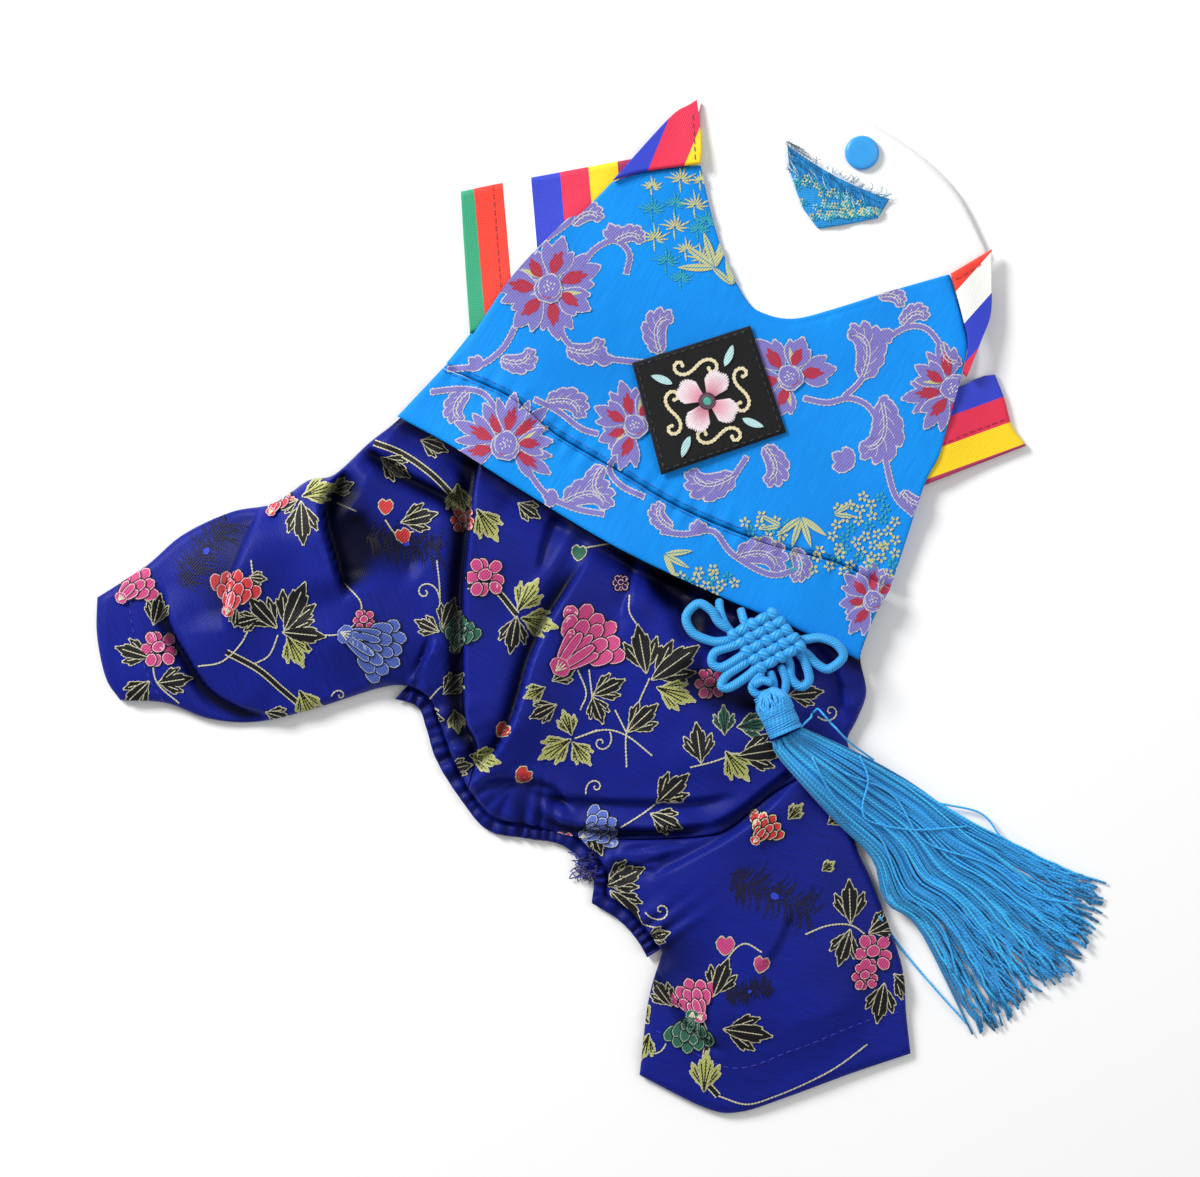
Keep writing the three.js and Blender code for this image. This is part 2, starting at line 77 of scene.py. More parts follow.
NECKLINE = [(34, 154), (37, 140), (42, 123), (50, 107), (57, 102), (67, 100.5), (81, 104), (100, 110),
            (121, 116)]
RAGLAN_LEFT = [(3, 148), (13, 151), (34, 154)]
RAGLAN_RIGHT = [(121, 116), (125, 101), (127, 91), (125, 81)]

# Plan of each piece between four edges: bottom and top from left to right, left and right upwards
PLANS = {
    "belly_panel": {
        "bottom": [(x + 1, y + 2) for x, y in BAND_SEAM],
        "right": [(101, 8), (112, 42), (121, 66), (124, 81), (133, 104), (134, 123)],
        "top": [(36, 174), (48, 177.5), (65, 176.5), (83, 172), (96, 166), (111, 156), (124, 142),
                (134, 123)],
        "left": [(-55, 85), (-30, 115), (3, 147), (23, 167), (36, 174)],
    },
    "neck_lining": {
        "bottom": [(29, 148), (47, 98), (66, 90), (90, 96), (122, 105)],
        "right": [(122, 105), (134.4, 123)],
        "top": [(34, 176.4), (48, 178.9), (65, 177.9), (83, 173.4), (96.2, 167.4), (111.3, 157.3),
                (124.4, 143.2), (134.4, 123)],
        "left": [(29, 148), (34, 176.4)],
    },
    "neck_facing": {
        "bottom": [(69.5, 139), (75, 131.5), (86, 133.3), (96, 135.3)],
        "right": [(96, 135.3), (100, 142)],
        "top": [(64, 161), (73, 155), (84.5, 148.4), (100, 142)],
        "left": [(69.5, 139), (65.3, 151), (64, 161)],
    },
    "left_sleeve": {
        "bottom": [(-46.7, 95), (-6, 104)],
        "right": [(-6, 104), (14, 157)],
        "top": [(-50, 145), (-33, 148.5), (14, 157)],
        "left": [(-46.7, 95), (-49, 128), (-50, 145)],
    },
    "right_sleeve": {
        "bottom": [(100, 37), (103, 69)],
        "right": [(103, 69), (124, 76.5), (131, 80), (137, 81)],
        "top": [(148, 56), (143, 63), (140.5, 72), (137, 81)],
        "left": [(100, 37), (112, 42), (148, 56)],
    },
    "left_leg": {
        "bottom": [(-169, -33), (-153, -34), (-138, -39.5), (-121, -40.6), (-101, -36), (-79, -29),
                   (-69, -28),
                   (-61, -32), (-57, -41), (-53, -52), CENTRE_PLEAT[0]],
        "right": CENTRE_PLEAT,
        "top": [(-177, 3), (-160, 14), (-147, 25), (-130, 33), (-115, 36), (-103, 44), (-94, 46), (-82, 57),
                (-72, 65), (-57, 80), CENTRE_PLEAT[-1]],
        "left": [(-169, -33), (-174, -25), (-177, -10.5), (-177, 3)],
    },
    "seat": {
        "bottom": [CENTRE_PLEAT[0], (-38.5, -73.5), (-26, -76.5), *THIGH_FOLD],
        "right": [THIGH_FOLD[-1], (85.5, -46), (89, -39), (92, -30), (90, -19), (91, -12), (98, 4)],
        "top": [CENTRE_PLEAT[-1], (-17.5, 59), (4.5, 46), (26.5, 33), (55.5, 21), (80.5, 14), (98, 4)],
        "left": CENTRE_PLEAT,
    },
    "right_leg": {
        "bottom": [(12.5, -164), (35.5, -175.5), (47.5, -177), (63.5, -172), (86.5, -163.5), (107.5, -156.5)],
        "right": [(107.5, -156.5), (106, -143), (104.5, -126), (98.5, -108), (94, -96), (88, -82), (87, -64),
                  THIGH_FOLD[-1]],
        "top": THIGH_FOLD,
        "left": [(12.5, -164), (15.6, -138), (20.5, -121), (15.5, -113.5), (9, -106), (1, -100.5), (1, -92),
                 THIGH_FOLD[0]],
    },
    "tail_elastic": {
        "bottom": ELASTIC_OUTSIDE,
        "right": [ELASTIC_OUTSIDE[-1], (21.8, -119)],
        "top": [(x + 2.2, y + 2.0) for x, y in ELASTIC_INSIDE],
        "left": [ELASTIC_OUTSIDE[0], (-67.8, -27)],
    },
    "back_panel": {
        "bottom": BAND_SEAM,
        "right": [(100, 6), (103.5, 16), (112, 42), (117, 52), (121, 66), (125, 81)],
        "top": [*RAGLAN_LEFT, *NECKLINE[1:], *RAGLAN_RIGHT[1:]],
        "left": [(-56, 83), (-47, 93), (-32, 115), (-14, 134), (-8, 137), (3, 148)],
    },
    "hem_band": {
        "bottom": HEM,
        "right": [(89, -19), (94, -5), (100, 6)],
        "top": BAND_SEAM,
        "left": [(-72, 66), (-56, 83)],
    },
    "left_shoulder": {
        "bottom": RAGLAN_LEFT,
        "right": [(34, 154), (34.3, 163), (32.7, 177)],
        "top": [(30, 175), (32.7, 177)],
        "left": [(3, 148), (22.6, 170), (30, 175)],
    },
    "right_shoulder": {
        "bottom": [(125, 81), (126.5, 79.5)],
        "right": [(126.5, 79.5), (132, 93), (135, 101), (135.6, 109.5), (135.6, 124.7)],
        "top": [(121, 116), (135.6, 124.7)],
        "left": RAGLAN_RIGHT[::-1],
    },
    "embroidered_patch": {
        "bottom": [(20, 45.5), (64, 60.5)],
        "right": [(64, 60.5), (51.3, 98)],
        "top": [(9.8, 84.8), (51.3, 98)],
        "left": [(20, 45.5), (9.8, 84.8)],
    },
    "tassel_skirt": {
        "bottom": [(58.3, -46.6), (59, -51), (67, -61), (79, -74), (93, -88), (97.5, -103), (110, -113),
                   (129, -150.5)],
        "right": [(129, -150.5), (134, -150), (141, -147), (151, -137), (168, -129), (170.6, -117),
                  (176, -107), (177, -97)],
        "top": [(68.5, -42), (88, -50.5), (105, -59.5), (119.5, -68.6), (139, -79.4), (158, -89.6),
                (177, -97)],
        "left": [(58.3, -46.6), (68.5, -42)],
    },
}

# Creases of the trousers: the line that each runs along, then its height and width on the left of that line
# and on the right, so a fold can stand over a deep hollow
CREASES = [
    ([(-88, 51), (-97, 38), (-97, 28), (-93.5, 15), (-90, 1)], (-6.8, 11), (4.2, 14)),
    ([(-90, 33), (-82, 25), (-73, 19), (-62, 12)], (-2.8, 7), (-2.8, 8)),
    ([(-118, 36), (-126, 18), (-131, 4), (-131, -10)], (2.8, 12), (-2.6, 13)),
    ([(-86, 58), (-80, 54), (-69, 46.5), (-53, 38), (-46, 30)], (-1.0, 5), (-5.5, 5)),
    ([(-154, 8), (-151, -6), (-145, -17), (-137, -29), (-126, -35.5), (-114, -38)], (2.4, 10), (-5.5, 4.4)),
    ([(-112, -4), (-98, -12), (-84, -20), (-72, -30)], (1.8, 6), (1.4, 5)),
    ([(-73, -33), (-66, -24), (-58, -11)], (-1.5, 4), (2.6, 4)),
    (CENTRE_PLEAT, (-6.5, 6.5), (2.4, 8)),
    ([(-3, 20), (-13.5, 4), (-19, -5), (-25, -18), (-29, -32), (-33, -43), (-40, -54), (-49, -64)], (3.2, 9),
     (-4.6, 5.5)),
    ([(-14, 40), (-20, 26), (-24, 10)], (-2.0, 5), (1.0, 6)),
    ([(12, 22), (10, 8), (6, -4)], (1.8, 5), (-1.0, 4)),
    ([(18, 22), (23, 8), (29, -6), (35, -16)], (-5.0, 9), (-3.0, 6)),
    ([(24, -20), (34, -28), (48, -34), (62, -36)], (-4.0, 6), (-3.4, 7)),
    ([(-2, 25), (8, 17), (18, 9), (30, 1)], (-3.2, 5), (-3.4, 5)),
    ([(34, 6), (44, -6), (48, -20)], (-3.0, 7), (-3.0, 5)),
    ([(-44, -61), (-27, -60), (-16, -64), (-9, -73)], (1.8, 5), (-2.8, 3.4)),
    ([(-30, -62), (-18, -66), (-2, -67.5), (16, -68), (32, -67.5), (48, -65)], (1.5, 5), (-2.3, 3.4)),
    ([(-26, -70), (-14, -76), (0, -77.6), (16, -77.8), (28, -77), (40, -75.5)], (2.8, 6), (-4.2, 3.6)),
    ([(34, -78), (46, -71.5), (58, -62), (70, -53)], (1.6, 6), (-1.9, 5)),
    ([(14, -97), (24, -90.5), (41, -81.5), (52, -74), (68, -60)], (-1.7, 5), (2.8, 15)),
    ([(6, -86), (18, -84.5), (30, -82.5)], (-1.3, 2.4), (0.9, 2.6)),
    ([(3, -91), (14, -89), (24, -86)], (0.9, 2.4), (-1.3, 2.2)),
    ([(2, -87), (10, -90), (20, -92)], (1.6, 3), (-1.0, 3)),
    ([(-6, -86), (2, -96), (10, -104)], (1.0, 3), (-2.0, 3)),
    ([(15, -122), (22, -132), (30, -145), (44, -156)], (1.8, 10), (-2.6, 4)),
    ([(74, -12), (82, -24), (84, -40)], (1.6, 7), (-2.0, 6)),
    ([(66, -104), (60, -118), (52, -128)], (-0.9, 12), (0.9, 12)),
    ([(60, -150), (76, -144), (92, -138)], (0.8, 8), (0.5, 6)),
]

# Routes of the knot's cord where it loops out of its woven body
LOOPS = {
    "knot_loop_left": [(46, -11.4), (41, -12.2), (37, -12), (30.9, -9.2), (28.6, -3.6), (32.8, 0.9),
                       (37.5, -1.7), (40, -5.6), (45, -9)],
    "knot_loop_right": [(66, -12.2), (70, -11.6), (75.4, -11), (81, -13.4), (83.2, -17.6), (78.2, -21.8),
                        (74.2, -20.2), (70.6, -16.6), (66, -14)],
    "knot_loop_left_middle": [(48, -12.6), (44, -14), (38.6, -16), (37.6, -19.6), (40.8, -21.2),
                              (46.4, -18.2), (50, -15.6)],
    "knot_loop_left_low": [(51, -18.4), (47, -21), (42.6, -24), (40.8, -27.6), (44, -28), (50.6, -23.6),
                           (54, -20)],
    "knot_loop_right_low": [(61.6, -16), (64.4, -19.4), (65.2, -25), (68.4, -28), (71.4, -25.4),
                            (69.6, -18.8), (66.4, -14.6)],
}
# Short cords that join the knot to the tassel's head and to the hem: how far each lies above the cord's
# middle height, how far it falls along its length, and its route
JOINING_CORDS = [
    (0.0, 0.0, [(61.2, -20.4), (63.3, -25.4), (62.6, -29.6), (60.2, -31.4)]),
    (1.2, 0.0, [(55.6, -23), (52.6, -25.2), (51.4, -28.2), (53.4, -30.6), (56.6, -30)]),
    (0.4, 0.0, [(57.6, -22.4), (58.8, -26), (59.2, -30)]),
    (2.8, 0.0, [(51.8, -27.4), (55, -25.8), (58.6, -26.6)]),
    (0.2, 3.0, [(44, -9), (41.6, -5), (40.4, -1), (40.2, 2.6)]),
    (0.0, 3.0, [(50, -8), (48.4, -4), (47.6, -0.6)]),
]
KNOT_CORNERS = {"left": (41.9, -9.4), "bottom": (54, -23.6), "top": (59, -0.2)}
HEAD_START = (56.6, -29.4)  # of the tassel's head, at the knot
HEAD_END = (63.2, -43.8)
SNAP_CENTRE = (90.3, 158.2)

# Thread colours, sRGB
LILAC = "#7f77c3"
CRIMSON = "#b32d49"
CREAM = "#dcd9bd"
PALE_LILAC = "#cbc7d2"
GOLD = "#c4c690"
TEAL = "#2fa3b8"
JET = "#08080e"
IVORY = "#cfcaaa"
LIME = "#b4b968"
ROSE = "#cb4682"
SHELL_PINK = "#f0b9c8"
SCARLET = "#d23a3e"
SLATE_BLUE = "#5268bd"
BOTTLE_GREEN = "#2a6450"
CORD_BLUE = "#33a8f0"
PALE_SLATE = "#aab8de"
PALE_GREEN = "#8fae9c"
# Green, red, white, blue, crimson, yellow and maroon
STRIPES = ["#2f9e74", "#ea3b2a", "#f6f6f2", "#2a3cc2", "#de284c", "#f7d212", "#a82c5c"]


def linear(colour):
    """An sRGB hex value as linear red, green and blue, with an alpha of 1."""
    parts = [int(colour[i : i + 2], 16) / 255 for i in (1, 3, 5)]
    return (*[c / 12.92 if c <= 0.04045 else ((c + 0.055) / 1.055) ** 2.4 for c in parts], 1.0)


# ---------------------------------------------------------------- plans and heights


def smooth_step(t):
    """0 below 0, 1 above 1, and an S-shaped rise between them."""
    t = np.clip(t, 0.0, 1.0)
    return t * t * (3 - 2 * t)


def even(points, count):
    """count + 1 points evenly spaced along a line of points."""
    points = np.asarray(points, float)
    run = np.concatenate([[0], np.cumsum(np.hypot(*np.diff(points[:, :2], axis=0).T))])
    at = np.linspace(0, run[-1], count + 1)
    return np.stack([np.interp(at, run, column) for column in points.T], axis=1)


def curve(points, count, corner=math.radians(48)):
    """Evenly spaced points on a smooth line through the given ones, which keeps sharp corners."""
    p = np.asarray(points, float)
    way = np.diff(p, axis=0)
    turn = np.zeros(len(p))
    for i in range(1, len(p) - 1):
        a, b = way[i - 1], way[i]
        turn[i] = abs(math.atan2(a[0] * b[1] - a[1] * b[0], a[0] * b[0] + a[1] * b[1]))
    line = []
    for i in range(len(p) - 1):
        before = p[i - 1] if i > 0 and turn[i] < corner else 2 * p[i] - p[i + 1]
        after = p[i + 2] if i + 2 < len(p) and turn[i + 1] < corner else 2 * p[i + 1] - p[i]
        t = np.linspace(0, 1, 13)[:-1, None]
        square = (2 * before - 5 * p[i] + 4 * p[i + 1] - after) * t**2
        cube = (3 * p[i] - before - 3 * p[i + 1] + after) * t**3
        line.append(0.5 * (2 * p[i] + (p[i + 1] - before) * t + (square + cube)))
    return even(np.vstack([*line, p[-1:]]), count)


def flowing(points, count):
    """A smooth line with no corners."""
    return curve(points, count, corner=math.pi)


def length_of(points):
    return float(np.hypot(*np.diff(np.asarray(points, float), axis=0).T).sum())


def plan_grid(edges, spacing=GRID, inset=0.15):
    """X and Y of a grid of points between four edges, its rim drawn in by inset so that pieces stay apart."""
    columns = max(2, round(max(length_of(edges["bottom"]), length_of(edges["top"])) / spacing))
    rows = max(2, round(max(length_of(edges["left"]), length_of(edges["right"])) / spacing))
    bottom, top = curve(edges["bottom"], columns), curve(edges["top"], columns)
    left, right = curve(edges["left"], rows), curve(edges["right"], rows)
    u = np.linspace(0, 1, columns + 1)[None, :, None]
    v = np.linspace(0, 1, rows + 1)[:, None, None]
    grid = (1 - v) * bottom[None] + v * top[None] + (1 - u) * left[:, None] + u * right[:, None]
    grid -= (1 - v) * ((1 - u) * bottom[0] + u * bottom[-1]) + v * ((1 - u) * top[0] + u * top[-1])
    inner_row = np.clip(np.arange(rows + 1), 1, rows - 1)
    inner_column = np.clip(np.arange(columns + 1), 1, columns - 1)
    towards = grid[inner_row][:, inner_column] - grid
    size = np.linalg.norm(towards, axis=2, keepdims=True)
    grid += towards * np.where(size > 0, inset / np.maximum(size, 1e-9), 0)
    return grid[..., 0], grid[..., 1]


def window_mean(field, mask, reach):
    """Mean of a raster over a square window, counting only the cells in mask, and the mask of the result."""

    def total(values):
        for axis in (0, 1):
            pad = [(0, 0), (0, 0)]
            pad[axis] = (reach + 1, reach)
            run = np.cumsum(np.pad(values, pad), axis)
            first = np.arange(values.shape[axis])
            values = np.take(run, first + 2 * reach + 1, axis) - np.take(run, first, axis)
        return values

    weight = total(mask.astype(float))
    found = weight > 0.5
    return np.where(found, total(np.where(mask, field, 0.0)) / np.maximum(weight, 1), 0.0), found


def cad_side(node, upper=True):
    """Raster of the upper or lower side of a CAD node, and the mask of where it is."""
    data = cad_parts[node].data
    data.calc_loop_triangles()
    points = np.array([v.co for v in data.vertices]) / MM
    sign = 1.0 if upper else -1.0
    field = np.full((CELLS, CELLS), EMPTY)
    for triangle in data.loop_triangles:
        a, b, c = points[list(triangle.vertices)]
        area = (b[0] - a[0]) * (c[1] - a[1]) - (b[1] - a[1]) * (c[0] - a[0])
        if area * sign < 1e-3:
            continue
        low = np.floor((np.minimum(np.minimum(a, b), c)[:2] + HALF) / CELL).astype(int)
        high = np.ceil((np.maximum(np.maximum(a, b), c)[:2] + HALF) / CELL).astype(int)
        xs = (np.arange(low[0], high[0] + 1) + 0.5) * CELL - HALF
        ys = (np.arange(low[1], high[1] + 1) + 0.5) * CELL - HALF
        gx, gy = np.meshgrid(xs, ys)
        wb = ((gx - a[0]) * (c[1] - a[1]) - (gy - a[1]) * (c[0] - a[0])) / area
        wc = ((b[0] - a[0]) * (gy - a[1]) - (b[1] - a[1]) * (gx - a[0])) / area
        inside = (wb >= -0.02) & (wc >= -0.02) & (wb + wc <= 1.02)
        z = sign * (a[2] + wb * (b[2] - a[2]) + wc * (c[2] - a[2]))
        part = field[low[1] : high[1] + 1, low[0] : high[0] + 1]
        np.copyto(part, np.maximum(part, z), where=inside)
    return sign * field, field > EMPTY / 2


def softened(field, mask, reach_mm=3.5):
    """A raster with its facets rounded off, and carried a little past its edges."""
    for _ in range(2):
        field, mask = window_mean(field, mask, round(reach_mm / CELL))
    return field


def sample(field, x, y):
    """Heights of a raster at points, between its cells."""
    fx = np.clip((np.asarray(x, float) + HALF) / CELL - 0.5, 0, CELLS - 2)
    fy = np.clip((np.asarray(y, float) + HALF) / CELL - 0.5, 0, CELLS - 2)
    ix, iy = fx.astype(int), fy.astype(int)
    tx, ty = fx - ix, fy - iy
    low = field[iy, ix] * (1 - tx) + field[iy, ix + 1] * tx
    high = field[iy + 1, ix] * (1 - tx) + field[iy + 1, ix + 1] * tx
    return low * (1 - ty) + high * ty


def height_raster(x, y, z):
    """Raster of a grid's surface. A cell holds the highest point in it, and cells just outside borrow one."""
    field = np.full((CELLS, CELLS), EMPTY)
    shares = (0.125, 0.375, 0.625, 0.875)
    for s, t in [(s, t) for s in shares for t in shares]:
        px, py, pz = (
            (g[:-1, :-1] * (1 - s) + g[:-1, 1:] * s) * (1 - t) + (g[1:, :-1] * (1 - s) + g[1:, 1:] * s) * t
            for g in (x, y, z))
        cells = ((py + HALF) / CELL).astype(int), ((px + HALF) / CELL).astype(int)
        np.maximum.at(field, cells, pz)
    for _ in range(4):
        near = np.max([np.roll(field, shift, axis) for axis in (0, 1) for shift in (-1, 1)], axis=0)
        field = np.where(field > EMPTY / 2, field, near)
    return field


def near_line(line, x, y, count=60):
    """Signed distance from a line, positive on its left, the share of its length at the nearest point."""
    points = curve(line, count)
    spacing = length_of(points) / count
    way = np.gradient(points, axis=0)
    way /= np.linalg.norm(way, axis=1, keepdims=True)
    dx = np.asarray(x)[..., None] - points[:, 0]
    dy = np.asarray(y)[..., None] - points[:, 1]
    nearest = np.argmin(dx**2 + dy**2, axis=-1)
    pick = (*np.indices(nearest.shape), nearest)
    dx, dy = dx[pick], dy[pick]
    side = way[nearest, 0] * dy - way[nearest, 1] * dx
    along = way[nearest, 0] * dx + way[nearest, 1] * dy
    past = np.maximum(np.abs(along) - spacing / 2, 0)
    share = np.clip((nearest + along / spacing) / count, 0, 1)
    return np.where(side >= 0, 1, -1) * np.hypot(side, past), share


def crease_height(x, y):
    """Heights of all creases. Each fades out at its ends, and steps from its right side to its left."""
    step_wide = 2.4
    faded_share = 0.2
    total = np.zeros_like(np.asarray(x, float))
    for line, (left_high, left_wide), (right_high, right_wide) in CREASES:
        off, share = near_line(line, x, y)
        fade = smooth_step(share / faded_share) * smooth_step((1 - share) / faded_share)
        left = left_high * np.exp(-((off / left_wide) ** 2))
        right = right_high * np.exp(-((off / right_wide) ** 2))
        total += fade * (right + (left - right) * smooth_step(off / step_wide + 0.5))
    return total


def gathers(x, y, line, pitch, reach, high, wild=1.3):
    """Small pleats that run square to a gathered edge and fade into the cloth; wild makes them uneven."""
    off, share = near_line(line, x, y, 160)
    run = share * length_of(line)
    phase = 2 * math.pi * run / pitch + wild * (np.sin(run / 11.0) + 0.8 * np.sin(run / 4.3 + 1))
    wave = np.sin(phase) * (0.65 + 0.35 * np.sin(run / 5.3 + 1))
    return high * wave * np.exp(-((np.abs(off) / reach) ** 1.5))


def elastic_gathers(x, y):
    """Pleats that the tail elastic draws into the trousers."""
    return gathers(x, y, ELASTIC_INSIDE, pitch=7.5, reach=13.0, high=1.7, wild=2.0)


def below_hem(x, y):
    """Distance past the jacket's hem, towards the cuffs, where the trousers are free."""
    off, _ = near_line(HEM, x, y)
    return -off


FREE_EDGES = [PLANS["left_leg"]["top"][:-2], PLANS["left_leg"]["bottom"][:7], ELASTIC_INSIDE,
              PLANS["right_leg"]["left"][:3], PLANS["right_leg"]["right"][:-1], PLANS["seat"]["right"]]
CUFFS = [PLANS["left_leg"]["left"], PLANS["right_leg"]["bottom"]]


def distance_to(lines, x, y):
    """Distance from the nearest of several lines."""
    return np.min([np.abs(near_line(line, x, y)[0]) for line in lines], axis=0)


def trouser_detail(x, y):
    """Creases, gathers and slow ripples of the trousers, flat under the hem and calm at the cuffs."""
    below = below_hem(x, y)
    free = smooth_step((below + 0.5) / 5.0)
    calm = 0.25 + 0.75 * smooth_step(distance_to(CUFFS, x, y) / 14.0)
    waist = gathers(x, y, HEM, pitch=17.0, reach=30.0, high=1.3)
    ripples = 0.3 * np.sin(x / 9.0 + 2 * np.sin(y / 17.0)) * np.sin(y / 12.0 + 1.5 * np.sin(x / 21.0))
    hollow = -2.2 * np.exp(-(((below - 3.0) / 5.0) ** 2))
    return free * calm * (crease_height(x, y) + waist + elastic_gathers(x, y) + ripples + hollow)


def painted_fold_light(x, y):
    """Painted shade, as the share of light that reaches the cloth: little of it gets down into deep folds,
    under the hem and into the elastic's pleats.
    """
    fade = smooth_step((distance_to(CUFFS, x, y) - 2) / 10)
    deep = smooth_step((-crease_height(x, y) * fade - 0.5) / 3.8)
    under_hem = np.exp(-((np.maximum(below_hem(x, y), 0) / 4.6) ** 2))
    pleats = smooth_step(-elastic_gathers(x, y) / 1.6)
    return (1 - 0.93 * deep) * (1 - 0.85 * under_hem) * (1 - 0.6 * pleats)


def turned_down(x, y):
    """How far the cloth has come up from the table, from 0 at its free edges to 1 inside."""
    round_edge = np.clip(distance_to(FREE_EDGES, x, y) / 3.4, 0, 1)
    flat_cuff = 0.45 + 0.55 * np.clip(distance_to(CUFFS, x, y) / 3.0, 0, 1)
    return np.sqrt(1 - (1 - round_edge) ** 2) * flat_cuff


def jacket_detail(x, y):
    """The groove and puckers of the stitched waist seam, and slow waves in the panel."""
    off, share = near_line(BAND_SEAM, x, y, 120)
    run = share * length_of(BAND_SEAM)
    seam = -0.4 * np.exp(-((off / 0.9) ** 2)) + 0.45 * np.exp(-(((off - 2.2) / 1.6) ** 2))
    pucker = 0.42 * np.sin(2 * math.pi * run / 6.5 + np.sin(run / 7)) * np.exp(-((np.abs(off) / 5.0) ** 1.4))
    waves = 0.5 * np.sin(x / 16 + 1.2 * np.sin(y / 23)) * np.sin(y / 19 + 0.8)
    return seam + pucker + waves


def back_detail(x, y):
    """The panel's own detail, with a neck edge that rolls outside its line of stitches."""
    off, _ = near_line(NECKLINE, x, y, 120)
    return jacket_detail(x, y) - 0.3 * np.exp(-(((np.abs(off) - 2.0) / 0.7) ** 2))


def facing_detail(x, y):
    return 0.4 * np.sin(x / 2.1 + y / 3.0) + 0.3


def nothing(x, y):
    return np.zeros_like(np.asarray(x, float))


# ---------------------------------------------------------------- meshes


def mesh_object(name, points, faces, material, uv=None, colours=None):
    """A smooth mesh from points and a plan of its cloth in millimetres."""
    data = bpy.data.meshes.new(name)
    data.from_pydata((np.asarray(points, float) * MM).tolist(), [], faces)
    data.polygons.foreach_set("use_smooth", [True] * len(data.polygons))
    if uv is not None:
        corners = np.zeros(len(data.loops), dtype=np.int64)
        data.loops.foreach_get("vertex_index", corners)
        layer = data.uv_layers.new(name="UVMap")
        layer.data.foreach_set("uv", (np.asarray(uv, float)[corners] * MM).ravel())
    if colours is not None:
        # Each point's colour: the thread's dye, the cloth's painted shade, and on the trousers' figures both
        # multiplied
        layer = data.color_attributes.new("colour_and_painted_shade", "FLOAT_COLOR", "POINT")
        layer.data.foreach_set("color", np.asarray(colours, float).ravel())
    data.materials.append(material)
    data.update()
    made = bpy.data.objects.new(name, data)
    bpy.context.scene.collection.objects.link(made)
    return made


def place(piece, slot, *nodes):
    """Puts a piece on the one body, in place of its CAD nodes."""
    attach(piece, "root")
    if nodes:
        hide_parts(*nodes)
    return piece


def grid_quads(rows, columns, start=0):
    """Quads between the points of a grid."""
    j, i = np.meshgrid(np.arange(rows - 1), np.arange(columns - 1), indexing="ij")
    a = (start + j * columns + i).ravel()
    return np.stack([a, a + 1, a + 1 + columns, a + columns], axis=1)


def along_grain(x, y, angle):
    """Where points of the plan lie along and across a cloth's grain."""
    c, s = math.cos(angle), math.sin(angle)
    return np.stack([x * c + y * s, -x * s + y * c], axis=2).reshape(-1, 2)


def layered(x, y, z):
    return np.stack([x, y, z], axis=2).reshape(-1, 3)


class Cloth:
    """One layer of cloth: a thin shell whose upper side follows its CAD node, with its own fine detail.

    rise is how far it stands off the table, from 0 to 1, and light the painted shade: the share of light that
    reaches it, multiplied into its colour."""

    def __init__(self, name, node, plan, detail=nothing, wall=SATIN, soften=3.5, spacing=GRID, grain=0.0,
                 rise=None, light=None):
        self.name = name
        self.node = node
        self.detail = detail
        self.wall = wall
        self.grain = math.radians(grain)
        self.rise = rise
        self.light = light
        self.x, self.y = plan_grid(PLANS[plan], spacing)
        self.field = softened(*cad_side(node), reach_mm=soften)
        ring = [(0, slice(None)), (slice(None), -1), (-1, slice(None, None, -1)), (slice(None, None, -1), 0)]
        self.outline = np.vstack([np.stack([self.x[k], self.y[k]], axis=1)[:-1] for k in ring])

    def height(self, x, y):
        z = sample(self.field, x, y) + self.detail(x, y)
        if self.rise is None:
            return z
        edge_high, least = 2.2, 3.0
        return edge_high + (np.maximum(z, least) - edge_high) * self.rise(x, y)

    def rim(self):
        """How far the points of the two outermost rings are pulled in, so that the edge is rounded."""
        j, i = np.indices(self.x.shape)
        rows, columns = self.x.shape
        ring = np.minimum(np.minimum(i, columns - 1 - i), np.minimum(j, rows - 1 - j))
        return np.select([ring == 0, ring == 1], [0.42, 0.1], 0.0) * self.wall

    def shell(self, material):
        rows, columns = self.x.shape
        count = rows * columns
        z = self.height(self.x, self.y)
        rim = self.rim()
        self.top = height_raster(self.x, self.y, z)
        low = np.maximum(z - self.wall + rim * 0.8, 0.02)
        points = np.vstack([layered(self.x, self.y, low), layered(self.x, self.y, z - rim)])
        edge = np.concatenate([
            np.arange(columns - 1), columns * np.arange(1, rows) - 1,
            count - 1 - np.arange(columns - 1), columns * np.arange(rows - 1, 0, -1)])
        after = np.roll(edge, -1)
        walls = np.stack([edge, after, after + count, edge + count], axis=1)
        faces = np.vstack([grid_quads(rows, columns, count), grid_quads(rows, columns)[:, ::-1], walls])
        ax, ay = self.x[0, 1] - self.x[0, 0], self.y[0, 1] - self.y[0, 0]
        bx, by = self.x[1, 0] - self.x[0, 0], self.y[1, 0] - self.y[0, 0]
        if ax * by - ay * bx < 0:
            faces = faces[:, ::-1]
        tint = None
        # Painted shade: the share of light that reaches each point, kept as its colour and multiplied into
        # the base colour
        if self.light:
            tint = np.repeat(self.light(self.x, self.y).reshape(-1, 1), 4, axis=1)
            tint[:, 3] = 1
            tint = np.vstack([tint, tint])
        flat = along_grain(self.x, self.y, self.grain)
        return mesh_object(self.name, points, faces.tolist(), material, np.vstack([flat, flat]), tint)


class Casing(Cloth):
    """The puckered casing of the tail elastic, which sinks under the trousers' edge."""

    def height(self, x, y):
        off, _ = near_line(ELASTIC_INSIDE, x, y, 120)
        tucked = 1 - 0.6 * smooth_step((off + 0.6) / 1.6)
        return np.maximum((sample(self.field, x, y) + casing_ruffles(x, y)) * tucked, 1.05)


def casing_ruffles(x, y):
    return gathers(x, y, ELASTIC_INSIDE, pitch=4.2, reach=30.0, high=0.9, wild=2.6) + 0.2


